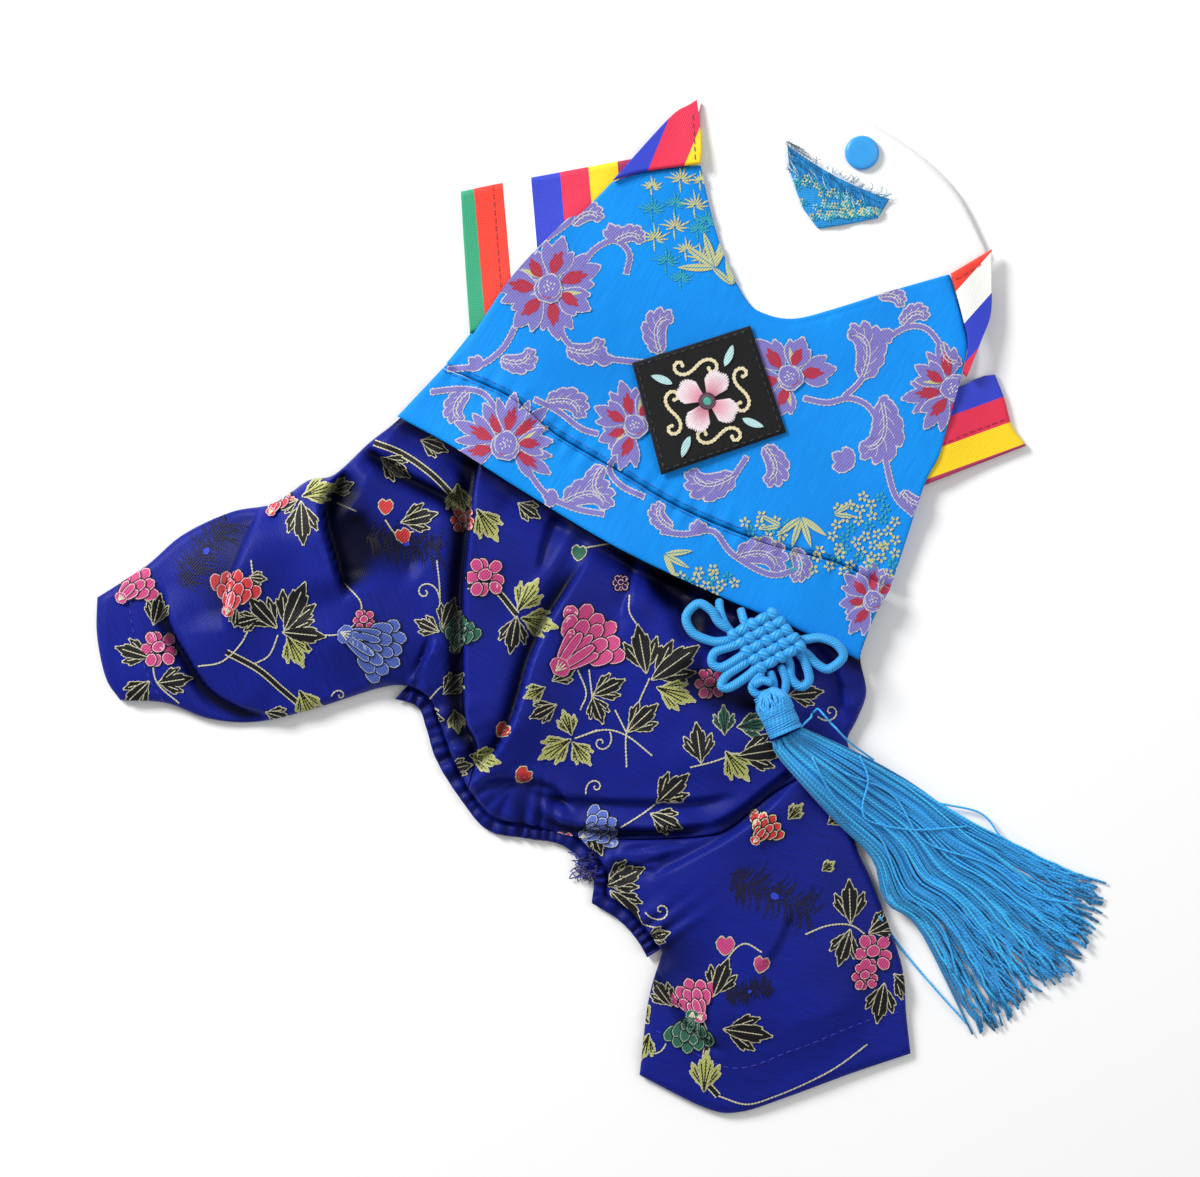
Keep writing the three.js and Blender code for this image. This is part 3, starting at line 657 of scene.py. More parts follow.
# Painted shade of the elastic's casing: darker in the troughs of its ruffles, and the whole casing drawn 0.8
# as bright
def painted_ruffle_light(x, y):
    return np.clip(0.75 + 0.5 * casing_ruffles(x, y), 0.15, 1) * 0.8


class Sleeve(Cloth):
    """A flattened tube: its cloth runs over the top, is turned at both long sides and comes back beneath."""

    def shell(self, material):
        rows, columns = self.x.shape
        count = 2 * rows * columns
        under = sample(softened(*cad_side(self.node, upper=False), reach_mm=2.5), self.x, self.y)
        top = np.maximum(self.height(self.x, self.y), under + 2.6)
        wall = np.minimum(self.wall, (top - under - 0.4) / 2)
        pinch = np.zeros((rows, 1))  # share of the height lost at each turned side
        pinch[[0, -1]] = 0.34
        pinch[[1, -2]] = 0.08
        thick = top - under
        ring_x = np.vstack([self.x, self.x[::-1]])
        ring_y = np.vstack([self.y, self.y[::-1]])
        outer = np.vstack([top - pinch * thick, (under + pinch * thick)[::-1]])
        inner = np.vstack([top - pinch * thick - wall, (under + pinch * thick + wall)[::-1]])
        self.top = height_raster(self.x, self.y, top - pinch * thick)
        tuck_x, tuck_y = ring_x.copy(), ring_y.copy()
        for edge, inward in ((0, 1), (rows - 1, rows - 2), (rows, rows + 1), (2 * rows - 1, 2 * rows - 2)):
            tuck_x[edge] += 0.7 * (ring_x[inward] - ring_x[edge])
            tuck_y[edge] += 0.7 * (ring_y[inward] - ring_y[edge])
        points = np.vstack([layered(ring_x, ring_y, outer), layered(tuck_x, tuck_y, inner)])
        skin = np.vstack([grid_quads(2 * rows, columns), seam_quads(2 * rows, columns)])
        ends = []
        for column in (0, columns - 1):
            ring = np.arange(2 * rows) * columns + column
            after = np.roll(ring, -1)
            end = np.stack([ring, after, after + count, ring + count], axis=1)
            ends.append(end[:, ::-1] if column == 0 else end)
        faces = np.vstack([skin, skin[:, ::-1] + count, *ends])
        flat = along_grain(ring_x, ring_y, self.grain)
        made = mesh_object(self.name, points, faces.tolist(), material, np.vstack([flat, flat]))
        turn_outward(made.data)
        return made


def seam_quads(rows, columns):
    """Quads that join the last row of a grid to its first."""
    i = np.arange(columns - 1)
    last = (rows - 1) * columns + i
    return np.stack([last, last + 1, i + 1, i], axis=1)


def turn_outward(data):
    """Turns the faces of a closed mesh to the outside."""
    shape = bmesh.new()
    shape.from_mesh(data)
    bmesh.ops.recalc_face_normals(shape, faces=shape.faces)
    shape.to_mesh(data)
    shape.free()


def inside(outline, x, y):
    """Which points lie inside a closed outline."""
    a, b = outline, np.roll(outline, -1, axis=0)
    found = np.zeros(len(x), bool)
    for (x0, y0), (x1, y1) in zip(a, b):
        if y0 != y1:
            crosses = (y0 > y) != (y1 > y)
            found ^= crosses & (x < x0 + (y - y0) * (x1 - x0) / (y1 - y0))
    return found


def tube_points(path, radius, sides, closed=False):
    """Points, quads and wrapped-out plan of a round tube along a path of three coordinates."""
    path = np.asarray(path, float)
    count = len(path)
    radii = np.broadcast_to(np.asarray(radius, float), (count,))
    way = np.gradient(path, axis=0)
    if closed:
        way = np.roll(path, -1, axis=0) - np.roll(path, 1, axis=0)
    way /= np.maximum(np.linalg.norm(way, axis=1, keepdims=True), 1e-9)
    across = np.cross(way, [0, 0, 1.0])
    size = np.linalg.norm(across, axis=1, keepdims=True)
    across = np.where(size > 1e-3, across / np.maximum(size, 1e-9), [1.0, 0, 0])
    up = np.cross(across, way)
    angle = np.arange(sides) * 2 * math.pi / sides
    ring = across[:, None] * np.cos(angle)[None, :, None] + up[:, None] * np.sin(angle)[None, :, None]
    points = (path[:, None] + ring * radii[:, None, None]).reshape(-1, 3)
    j = np.arange(count if closed else count - 1)[:, None]
    k = np.arange(sides)[None, :]
    follow = (j + 1) % count
    a, b = j * sides + k, j * sides + (k + 1) % sides
    c, d = follow * sides + (k + 1) % sides, follow * sides + k
    quads = np.stack([a + 0 * b, b, c, d], axis=2).reshape(-1, 4)
    run = np.concatenate([[0], np.cumsum(np.linalg.norm(np.diff(path, axis=0), axis=1))])
    uv = np.stack(np.broadcast_arrays(angle[None, :] * radii.mean(), run[:, None]), axis=2).reshape(-1, 2)
    return points, quads, uv


class Strands:
    """Many tubes in one mesh."""

    def __init__(self):
        self.points, self.faces, self.uv, self.colours = [], [], [], []
        self.count = 0

    def add(self, path, radius, sides=8, colour=CORD_BLUE, shade=1.0, closed=False, round_ends=False):
        path = np.asarray(path, float)
        if round_ends:
            radius = np.broadcast_to(np.asarray(radius, float), (len(path),)).copy()
            radius[[0, -1]] *= 0.45
            radius[[1, -2]] *= 0.86
        points, quads, uv = tube_points(path, radius, sides, closed)
        apart = 2.618 * len(self.points)  # so that the twists of two strands never line up
        self.uv.append(uv + [0.0, apart])
        self.points.append(points)
        self.faces += (quads + self.count).tolist()
        if not closed:
            last = self.count + len(points) - sides
            self.faces.append(list(range(self.count + sides - 1, self.count - 1, -1)))
            self.faces.append(list(range(last, last + sides)))
        tint = np.array(linear(colour))
        tint[:3] = np.minimum(tint[:3] * shade, 0.95)
        self.colours.append(np.tile(tint, (len(points), 1)))
        self.count += len(points)

    def build(self, name, material, slot, *nodes):
        made = mesh_object(name, np.vstack(self.points), self.faces, material, np.vstack(self.uv),
                           np.vstack(self.colours))
        return place(made, slot, *nodes)


class Threads:
    """Woven or stitched figures on one cloth: narrow strips that follow its surface and stop at its edges."""

    def __init__(self, cloth):
        self.cloth = cloth
        self.points, self.faces, self.colours, self.lifts = [], [], [], []
        self.count = 0

    def strip(self, path, half_widths, colour, lift=THREAD_LIFT, dome=0.0, tip=None):
        """A strip along a path, as wide as twice half_widths; tip is its colour at the far end."""
        path = np.asarray(path, float)
        half = np.broadcast_to(np.asarray(half_widths, float), (len(path),))
        way = np.gradient(path, axis=0)
        way /= np.maximum(np.linalg.norm(way, axis=1, keepdims=True), 1e-9)
        across = np.stack([-way[:, 1], way[:, 0]], axis=1)
        columns = max(2 if dome else 1, math.ceil(2 * float(half.max()) / 1.2)) + 1
        t = np.linspace(-1, 1, columns)
        points = path[:, None] + across[:, None] * (half[:, None] * t[None])[..., None]
        share = np.linspace(0, 1, len(path))[:, None, None]
        start = np.array(linear(colour))
        end = np.array(linear(tip)) if tip else start
        tint = np.broadcast_to(start + (end - start) * smooth_step(share), (len(path), columns, 4))
        self.points.append(points.reshape(-1, 2))
        crossing = 0.012 * (len(self.points) % 5)  # so that strips which cross never lie in one plane
        self.lifts.append(np.broadcast_to(lift + crossing + dome * (1 - t**2), (len(path), columns)).ravel())
        self.colours.append(tint.reshape(-1, 4))
        self.faces.append(grid_quads(len(path), columns, self.count)[:, ::-1])
        self.count += len(path) * columns

    def line(self, points, width, colour, lift=THREAD_LIFT + 0.06, twist=0.3, step=0.6):
        """A thin thread through points, its width beating like the twist of a yarn."""
        points = np.asarray(points, float)
        count = max(2, round(length_of(points) / step))
        half = 0.5 * width * (1 + twist * np.where(np.arange(count + 1) % 2, 1, -1))
        self.strip(even(points, count), half, colour, lift, dome=0.06)

    def build(self, name, material, slot):
        """The strips as a mesh. Faces past the cloth's outline are dropped, and those across it end on it."""
        points = np.vstack(self.points)
        faces = np.vstack(self.faces)
        keep = inside(self.cloth.outline, points[:, 0], points[:, 1])
        faces = faces[keep[faces].any(axis=1)]
        for k in np.unique(faces[~keep[faces]]):
            near = self.cloth.outline - points[k]
            points[k] = self.cloth.outline[np.argmin((near**2).sum(axis=1))]
        used, faces = np.unique(faces, return_inverse=True)
        faces = faces.reshape(-1, 4)
        x, y = points[used].T
        z = sample(self.cloth.top, x, y) + np.concatenate(self.lifts)[used]
        tint = np.vstack(self.colours)[used]
        # Painted shade: figures on a shaded cloth darken with its painted shade, a little less than the cloth
        # itself
        if self.cloth.light:
            tint[:, :3] *= self.cloth.light(x, y)[:, None] ** 0.8
        made = mesh_object(name, np.stack([x, y, z], axis=1), faces.tolist(), material, colours=tint)
        return place(made, slot)


# ---------------------------------------------------------------- materials


def add_node(tree, kind, links=None, **settings):
    """Adds a node with its settings, and joins or fills its inputs."""
    made = tree.nodes.new(kind)
    for key, value in settings.items():
        setattr(made, key, value)
    for socket, value in (links or {}).items():
        if isinstance(value, bpy.types.NodeSocket):
            tree.links.new(value, made.inputs[socket])
        else:
            made.inputs[socket].default_value = value
    return made


def new_material(name, roughness, sheen=0.0, ior=1.5):
    made = bpy.data.materials.new(name)
    made.use_nodes = True
    shader = made.node_tree.nodes["Principled BSDF"]
    shader.inputs["Roughness"].default_value = roughness
    shader.inputs["IOR"].default_value = ior
    shader.inputs["Sheen Weight"].default_value = sheen
    shader.inputs["Sheen Roughness"].default_value = 0.35
    return made, made.node_tree, shader


WAVE_PERIOD = 0.314  # length of one band of the wave texture at scale 1


def colour_by_point(tree, shader, shade):
    """The base colour: what each point of the mesh carries (the thread's dye, the cloth's painted shade, and
    on the trousers' figures both), multiplied by a colour or a grey shade.
    """
    own = add_node(tree, "ShaderNodeVertexColor", layer_name="colour_and_painted_shade").outputs["Color"]
    factor, first, second, result = 0, 6, 7, 2  # the mix node's sockets for colours
    links = {factor: 1.0, first: own, second: shade}
    product = add_node(tree, "ShaderNodeMix", links, data_type="RGBA", blend_type="MULTIPLY")
    tree.links.new(product.outputs[result], shader.inputs["Base Color"])


def weave_bump(tree, shader, thread_mm, strength):
    """Fine ribs of warp and weft, as a bump along the cloth's own grain."""
    grain = add_node(tree, "ShaderNodeUVMap", uv_map="UVMap").outputs["UV"]
    ribs = {"Vector": grain, "Scale": WAVE_PERIOD / (thread_mm * MM), "Distortion": 0.6}
    warp = add_node(tree, "ShaderNodeTexWave", ribs, bands_direction="X").outputs["Fac"]
    weft = add_node(tree, "ShaderNodeTexWave", ribs, bands_direction="Y").outputs["Fac"]
    cloth = add_node(tree, "ShaderNodeMath", {0: warp, 1: weft}, operation="MULTIPLY")
    slub = add_node(tree, "ShaderNodeTexNoise", {"Vector": grain, "Scale": 900.0, "Detail": 2.0})
    both = add_node(tree, "ShaderNodeMath", {0: cloth.outputs[0], 1: slub.outputs["Fac"]}, operation="ADD")
    relief = {"Height": both.outputs[0], "Strength": strength, "Distance": 0.0004}
    bump = add_node(tree, "ShaderNodeBump", relief)
    tree.links.new(bump.outputs["Normal"], shader.inputs["Normal"])
    return grain


def satin_ground(name, light, deep, roughness, sheen, thread_mm, strength, ior=1.46, with_painted_shade=False):
    """A woven ground: ribs of thread under a broad soft shine, with faint streaks of dye along the warp."""
    made, tree, shader = new_material(name, roughness, sheen, ior)
    shader.inputs["Sheen Tint"].default_value = linear(light)
    grain = weave_bump(tree, shader, thread_mm, strength)
    warp = add_node(tree, "ShaderNodeMapping", {"Vector": grain, "Scale": (1500.0, 90.0, 1.0)})
    streak = add_node(tree, "ShaderNodeTexNoise",
                      {"Vector": warp.outputs["Vector"], "Scale": 1.0, "Detail": 3.0})
    cloud = add_node(tree, "ShaderNodeTexNoise", {"Vector": grain, "Scale": 22.0, "Detail": 1.0})
    pair = {0: streak.outputs["Fac"], 1: cloud.outputs["Fac"]}
    both = add_node(tree, "ShaderNodeMath", pair, operation="MULTIPLY")
    ramp = add_node(tree, "ShaderNodeValToRGB", {"Fac": both.outputs[0]})
    ramp.color_ramp.elements[0].position = 0.12
    ramp.color_ramp.elements[0].color = linear(deep)
    ramp.color_ramp.elements[1].position = 0.4
    ramp.color_ramp.elements[1].color = linear(light)
    # Painted shade: the ground's colour is multiplied by the painted shade that the points carry
    if with_painted_shade:
        shader.inputs["Specular IOR Level"].default_value = 0.22
        colour_by_point(tree, shader, ramp.outputs["Color"])
    else:
        tree.links.new(ramp.outputs["Color"], shader.inputs["Base Color"])
    return made


def striped_satin(name, first, start, width):
    """Saekdong: polyester satin with its warp dyed in seven stripes that repeat, with hard straight edges.

    The stripe numbered first begins at start, and each is as wide as width, in mm along the cloth's grain."""
    made, tree, shader = new_material(name, 0.5, 0.1, ior=1.42)
    grain = weave_bump(tree, shader, 0.7, 0.35)
    across = add_node(tree, "ShaderNodeSeparateXYZ", {"Vector": grain}).outputs["X"]
    whole = width * len(STRIPES) * MM
    moved = add_node(tree, "ShaderNodeMath", {0: across, 1: start * MM}, operation="SUBTRACT")
    repeat = add_node(tree, "ShaderNodeMath", {0: moved.outputs[0], 1: whole}, operation="DIVIDE")
    part = add_node(tree, "ShaderNodeMath", {0: repeat.outputs[0], 1: 1.0, 2: 0.0}, operation="WRAP")
    ramp = add_node(tree, "ShaderNodeValToRGB", {"Fac": part.outputs[0]})
    ramp.color_ramp.interpolation = "CONSTANT"
    order = STRIPES[first:] + STRIPES[:first]
    while len(ramp.color_ramp.elements) < len(order):
        ramp.color_ramp.elements.new(0.5)
    for k, colour in enumerate(order):
        ramp.color_ramp.elements[k].position = k / len(order)
        ramp.color_ramp.elements[k].color = linear(colour)
    tree.links.new(ramp.outputs["Color"], shader.inputs["Base Color"])
    return made


def thread_material(name, roughness, sheen, strength=0.4, thread_mm=0.8, ior=1.5):
    """Flat-laid thread: each strand keeps its own dyed colour, under a silky shine with a fine twist. The
    twist gets painted shade and highlight along its turns, with a random speckle of tone.
    """
    made, tree, shader = new_material(name, roughness, sheen, ior)
    spot = add_node(tree, "ShaderNodeTexCoord").outputs["Object"]
    twist = add_node(tree, "ShaderNodeMapping", {"Vector": spot, "Rotation": (0, 0, 0.7)}).outputs["Vector"]
    turns = {"Vector": twist, "Scale": WAVE_PERIOD / (thread_mm * MM), "Distortion": 2.5}
    ribs = add_node(tree, "ShaderNodeTexWave", turns).outputs["Fac"]
    speckle = add_node(tree, "ShaderNodeTexNoise", {"Vector": spot, "Scale": 1500.0, "Detail": 1.0})
    # Painted shade and highlight: the twist's ribs darken and lighten the dye, mixed with a random speckle of
    # tone
    both = add_node(tree, "ShaderNodeMath", {0: ribs, 1: speckle.outputs["Fac"]}, operation="MULTIPLY")
    reach = {"Value": both.outputs[0], "From Max": 0.7, "To Min": 0.72, "To Max": 1.15}
    shade = add_node(tree, "ShaderNodeMapRange", reach)
    colour_by_point(tree, shader, shade.outputs["Result"])
    bump = add_node(tree, "ShaderNodeBump", {"Height": ribs, "Strength": strength, "Distance": 0.0003})
    tree.links.new(bump.outputs["Normal"], shader.inputs["Normal"])
    return made


def cord_material(name, turns_mm, strength, darkest):
    """Round thread or cord: fine ribs run slantwise round it under a soft shine, with painted shade between
    the turns and a faint painted highlight on them.
    """
    made, tree, shader = new_material(name, 0.45, 0.25, ior=1.46)
    grain = add_node(tree, "ShaderNodeUVMap", uv_map="UVMap").outputs["UV"]
    slant = add_node(tree, "ShaderNodeMapping", {"Vector": grain, "Rotation": (0, 0, 0.9)}).outputs["Vector"]
    turns = {"Vector": slant, "Scale": WAVE_PERIOD / (turns_mm * MM), "Distortion": 1.5}
    ribs = add_node(tree, "ShaderNodeTexWave", turns).outputs["Fac"]
    # Painted shade between the cord's turns, down to darkest, and a faint painted highlight on them
    shade = add_node(tree, "ShaderNodeMapRange", {"Value": ribs, "To Min": darkest, "To Max": 1.05})
    colour_by_point(tree, shader, shade.outputs["Result"])
    bump = add_node(tree, "ShaderNodeBump", {"Height": ribs, "Strength": strength, "Distance": 0.0003})
    tree.links.new(bump.outputs["Normal"], shader.inputs["Normal"])
    return made


def mottled(tree, shader, scale, detail, dark, light):
    """Two near colours in a fine cloud over the whole piece."""
    spot = add_node(tree, "ShaderNodeTexCoord").outputs["Object"]
    cloud = add_node(tree, "ShaderNodeTexNoise", {"Vector": spot, "Scale": scale, "Detail": detail})
    ramp = add_node(tree, "ShaderNodeValToRGB", {"Fac": cloud.outputs["Fac"]})
    ramp.color_ramp.elements[0].color = linear(dark)
    ramp.color_ramp.elements[1].color = linear(light)
    tree.links.new(ramp.outputs["Color"], shader.inputs["Base Color"])
    return cloud.outputs["Fac"]


def felt_material():
    """Wool felt, pressed and dyed black: no weave, matt and dense, with a short fuzz of crossed fibres."""
    made, tree, shader = new_material("pressed_black_felt", 0.95, 0.12)
    fuzz = mottled(tree, shader, 1400.0, 6.0, "#040405", "#111114")
    bump = add_node(tree, "ShaderNodeBump", {"Height": fuzz, "Strength": 0.9, "Distance": 0.0006})
    tree.links.new(bump.outputs["Normal"], shader.inputs["Normal"])
    return made


def plastic_material():
    """Acetal, dyed in the mass and moulded: one even colour with a smooth, slightly waxy gloss."""
    made, tree, shader = new_material("moulded_azure_acetal", 0.32, ior=1.48)
    mottled(tree, shader, 500.0, 2.0, "#2c93dc", "#359ee6")
    return made


# Real satin has 0.1 mm threads and real cord turns every 0.5 mm. Both are drawn coarser here, at the sizes
# given in millimetres, so that they show at this scale.
#
# Polyester satin, long floats of bright yarn over a tight ground: a broad soft shine and an even, deep colour
azure_satin = satin_ground("azure_polyester_satin", "#0190ec", "#0080db", 0.6, 0.0, 0.7, 0.3, ior=1.28)
# The same in royal blue and thinner: it creases more, and its folds get painted shade, carried in the points'
# colours
royal_satin = satin_ground("royal_blue_polyester_satin", "#17238a", "#121c72", 0.42, 0.0, 0.7, 0.2, 1.3, True)
# Satin's wrong side shows the short floats: matt, a little duller in colour and rough
royal_lining = satin_ground("royal_blue_wrong_side", "#161080", "#0e0a5c", 0.6, 0.05, 0.7, 0.2)
wrong_side = satin_ground("azure_satin_wrong_side", "#1c98e2", "#1276b8", 0.7, 0.0, 0.6, 0.6)
# Cotton lawn, plain woven and bleached: flat white with no shine
white_cotton = satin_ground("bleached_cotton_lining", "#fbfbfa", "#f1f1ef", 0.85, 0.0, 0.8, 0.25)
# Rayon weft that floats on the brocade's face only where a figure is: dull silk that stands a little proud
woven_figures = thread_material("woven_rayon_floats", 0.55, 0.05, ior=1.32)
# Rayon floss laid side by side by machine: the brightest thread, it shines along each stitch
embroidery = thread_material("satin_stitch_rayon", 0.38, 0.4, strength=0.7, thread_mm=0.7)
# Spun polyester sewing thread: thin, dull and hard twisted
sewing_thread = thread_material("polyester_sewing_thread", 0.55, 0.1)
# Rayon braided round a core: plump, with close slanting ribs
rayon_cord = cord_material("braided_rayon_cord", 0.8, 0.6, 0.76)
# Twisted rayon thread, cut in lengths for the tassel: slack, with longer turns
tassel_thread = cord_material("twisted_tassel_rayon", 1.1, 0.35, 0.78)
black_felt = felt_material()
azure_acetal = plastic_material()


# ---------------------------------------------------------------- figures of the brocades


def blade_path(at, angle, length, bend=0.0, count=12):
    """A path that leaves a point at an angle and bends evenly by so many radians over its length."""
    t = np.linspace(0, 1, count)
    heading = angle + bend * t
    step = length / (count - 1)
    x = at[0] + np.concatenate([[0], np.cumsum(np.cos(heading[:-1]) * step)])
    y = at[1] + np.concatenate([[0], np.cumsum(np.sin(heading[:-1]) * step)])
    return np.stack([x, y], axis=1)


def step_from(at, angle, reach):
    return (at[0] + reach * math.cos(angle), at[1] + reach * math.sin(angle))


def walk(at, headings, steps):
    """The path that a row of steps takes from a place."""
    x = at[0] + np.cumsum(np.cos(headings) * steps)
    y = at[1] + np.cumsum(np.sin(headings) * steps)
    return np.stack([x, y], axis=1)


def shifted(line, distance):
    """A line of points moved sideways, to the left of its way."""
    way = np.gradient(np.asarray(line, float), axis=0)
    way /= np.linalg.norm(way, axis=1, keepdims=True)
    return line + np.stack([-way[:, 1], way[:, 0]], axis=1) * distance


def rimmed(threads, path, half, fill, rim, level=0.0, rim_width=0.5, beat=0.3):
    """A filled strip on a wider one whose edge shows as a rim; shapes that touch share one outer rim."""
    path, half = np.asarray(path, float), np.asarray(half, float)
    if rim:
        ends = path.copy()
        ends[0] -= (path[1] - path[0]) / max(np.linalg.norm(path[1] - path[0]), 1e-6) * rim_width
        ends[-1] += (path[-1] - path[-2]) / max(np.linalg.norm(path[-1] - path[-2]), 1e-6) * rim_width
        pulse = 1 + beat * np.where(np.arange(len(path)) % 2, 1, -1)
        threads.strip(ends, half + rim_width * pulse, rim, THREAD_LIFT + level)
    threads.strip(path, half, fill, THREAD_LIFT + level + LAYER)


def blade(threads, at, angle, length, width, fill, rim, bend=0.0, blunt=0.5, level=0.0, rim_width=0.5,
          belly=0.9):
    """A leaf or petal. blunt 0.5 is a pointed leaf and 1 a round petal; a belly above 1 is near the tip."""
    count = max(7, round(length / 0.85))
    path = blade_path(at, angle, length, bend, count)
    t = np.linspace(0, 1, count)
    half = 0.5 * width * np.clip(np.sin(math.pi * t**belly), 0, 1) ** (0.5 / blunt) + 0.03
    rimmed(threads, path, half, fill, rim, level, rim_width)


def vine_leaf(threads, at, angle, size, fill, level):
    """A vine leaf: one long toothed lobe between two shorter ones, each with its own outline and vein."""
    for off, height in ((-1, 0.0), (1, 0.0), (0, 0.16)):
        way = angle + 0.62 * off
        reach = size * (1 - 0.32 * abs(off))
        bend = -0.2 * off
        lobe_level = level + height
        root = step_from(at, angle, size * (0.05 + 0.1 * abs(off)))
        spine = blade_path(root, way, reach, bend, 11)
        for side in (-1, 1):
            if side * off >= 0:
                blade(threads, spine[4], way + 0.5 * side, reach * 0.4, reach * 0.17, fill, IVORY,
                      bend=-0.3 * side, blunt=0.55, level=lobe_level, rim_width=0.32)
        blade(threads, root, way, reach, reach * 0.31, fill, IVORY, bend=bend, blunt=0.55, level=lobe_level,
              belly=0.95, rim_width=0.34)
        top = THREAD_LIFT + level + height + LAYER + 0.06
        if fill == JET:
            threads.line(spine[:9], 0.32, IVORY, top)
            continue
        for side in (-0.5, 0, 0.5):
            vein = blade_path(root, way + 0.34 * side, reach * (0.8 - 0.2 * abs(side)), bend, 7)
            threads.line(vein, 0.42, JET, top)


def petal(threads, at, angle, length, width, colour, pale, level=0.0):
    """A woven petal: its own colour inside a pale rim, parted from the next one by a dark gap."""
    count = max(7, round(length / 0.8))
    path = blade_path(at, angle, length, 0, count)
    half = 0.5 * width * np.clip(np.sin(math.pi * np.linspace(0, 1, count) ** 1.15), 0, 1) ** 0.36 + 0.03
    way = np.array([math.cos(angle), math.sin(angle)])
    for extra, tint, lift in ((0.66, JET, 0.0), (0.3, pale, 0.06), (0.0, colour, 0.12)):
        longer = path + np.linspace(-1, 1, count)[:, None] * way * extra * 0.8
        threads.strip(longer, half + extra, tint, THREAD_LIFT + level + lift)


def stem(threads, points, double):
    """A pale stem, or a dark one between two pale lines."""
    line = flowing(points, max(6, round(length_of(points) / 0.6)))
    if not double:
        threads.line(line, 0.5, IVORY, THREAD_LIFT + 0.02)
        return
    threads.strip(line, 0.7, JET, THREAD_LIFT)
    for side in (-0.95, 0.95):
        threads.line(shifted(line, side), 0.42, IVORY, THREAD_LIFT + 0.04)


def tendril(threads, at, angle, size, hand):
    """A spiral that curls in on itself."""
    turns = 1.2
    t = np.linspace(0, 1, 40)
    path = walk(at, angle + hand * 2 * math.pi * turns * t**1.4, size * 3.2 / 40 * (1 - 0.75 * t))
    threads.line(path, 0.48, IVORY, THREAD_LIFT + 0.04)


def fan_peony(threads, at, angle, size, colour, pale, rows):
    """A half-open peony seen from the side: rows of small round petals fanned over a ribbed cup."""
    # Rows of petals: where they start and end as shares of the size, their number, their spread in radians
    tiers = [(0.68, 1.0, 6, 0.56), (0.46, 0.84, 5, 0.54), (0.12, 0.66, 5, 0.52)]
    if rows == 2:
        tiers = [(0.55, 1.0, 5, 0.66), (0.36, 0.8, 4, 0.56), (0.1, 0.56, 3, 0.46)]
    for tier, (near, far, petals, spread) in enumerate(tiers):
        wide = 2 * spread * size * (near * 0.3 + far * 0.7) / (petals - 1) * 0.98 - 0.8
        for k in range(petals):
            off = (k - (petals - 1) / 2) / ((petals - 1) / 2)
            way = angle + spread * off
            far_here = far - 0.05 * (k % 2) - 0.07 * off**2
            petal(threads, step_from(at, way, size * near), way - 0.15 * off, size * (far_here - near), wide,
                  colour, pale, level=0.1 + 0.36 * tier + 0.18 * (k % 2))
    top = 0.36 * len(tiers)
    blade(threads, step_from(at, angle, -size * 0.03), angle, size * 0.22, size * 0.26, colour, pale,
          blunt=1.3, level=0.1 + top, rim_width=0.3)
    for k in range(4):
        way = angle + 0.34 * (k - 1.5)
        threads.line(blade_path(at, way, size * 0.15, 0, 5), 0.4, CREAM, THREAD_LIFT + 0.4 + top)


def bud_cluster(threads, at, size, colour):
    """A cluster of nine small round petals, packed like a raspberry."""
    places = [(0.33 + 0.05 * (k % 2), 2 * math.pi * k / 8) for k in range(8)] + [(0.0, 0.0)]
    for k, (ring, way) in enumerate(places):
        centre = step_from(at, way, ring * size)
        root = step_from(centre, way, -size * 0.16)
        petal(threads, root, way + 0.4 * (k % 3 - 1), size * 0.34, size * 0.26, colour, SHELL_PINK,
              level=0.08 + 0.18 * (k % 2) + 0.36 * (ring == 0))


def heart(threads, at, angle, size, colour):
    """A heart whose point is at the given place."""
    for side in (-1, 1):
        blade(threads, at, angle + 0.4 * side, size * 0.86, size * 0.46, colour, IVORY, bend=-0.4 * side,
              blunt=0.9, level=0.03, belly=1.4, rim_width=0.36)


def feather_shadow(threads, at, size, angle):
    """Tone-on-tone figure: fine dark strokes that rise from a curved line."""
    for k in range(120):
        t = rng.random()
        root = (at[0] + size * (t - 0.5) * math.cos(angle), at[1] + size * (t - 0.5) * math.sin(angle))
        side = 1 if k % 2 else -1
        way = angle + side * (0.7 + 0.6 * rng.random())
        threads.strip(blade_path(root, way, size * (0.12 + 0.22 * rng.random()), 0.5 * side, 6),
                      [0.2, 0.26, 0.24, 0.2, 0.15, 0.05], "#0a0a3c", 0.05)
    blade(threads, at, angle, size * 0.1, size * 0.07, "#2b3fd0", None, blunt=1.2)


def scroll_leaf(threads, at, angle, size, hand):
    """An acanthus leaf: a curved rib of two pale lines, pointed lobes on both sides and a hooked tip."""
    t = np.linspace(0, 1, 28)
    heading = angle + hand * (2.5 * t**2.2)
    path = walk(at, heading, size * 1.3 / 28 * (1 - 0.3 * t))
    half = size * (0.06 + 0.15 * np.sin(math.pi * t**0.75) ** 0.8)
    half[-1] = 0.1
    rimmed(threads, path, half, LILAC, PALE_LILAC)
    for share, reach in ((0.05, 0.3), (0.2, 0.38), (0.36, 0.42), (0.52, 0.4), (0.68, 0.32), (0.82, 0.22)):
        k = int(share * 27)
        for side in (-1, 1):
            lobe = size * reach * (1.0 if side == -hand else 0.82)
            blade(threads, path[k], heading[k] + side * 0.95, lobe, lobe * 0.62, LILAC, PALE_LILAC,
                  bend=-0.75 * side, blunt=0.72, belly=1.1)
            vein = blade_path(path[k], heading[k] + side * 0.85, lobe * 0.62, -0.6 * side, 6)
            threads.line(vein, 0.26, PALE_LILAC, THREAD_LIFT + LAYER + 0.08)
    for side in (-0.55, 0.55):
        threads.line(shifted(path[:23], side), 0.4, PALE_LILAC, THREAD_LIFT + LAYER + 0.1)


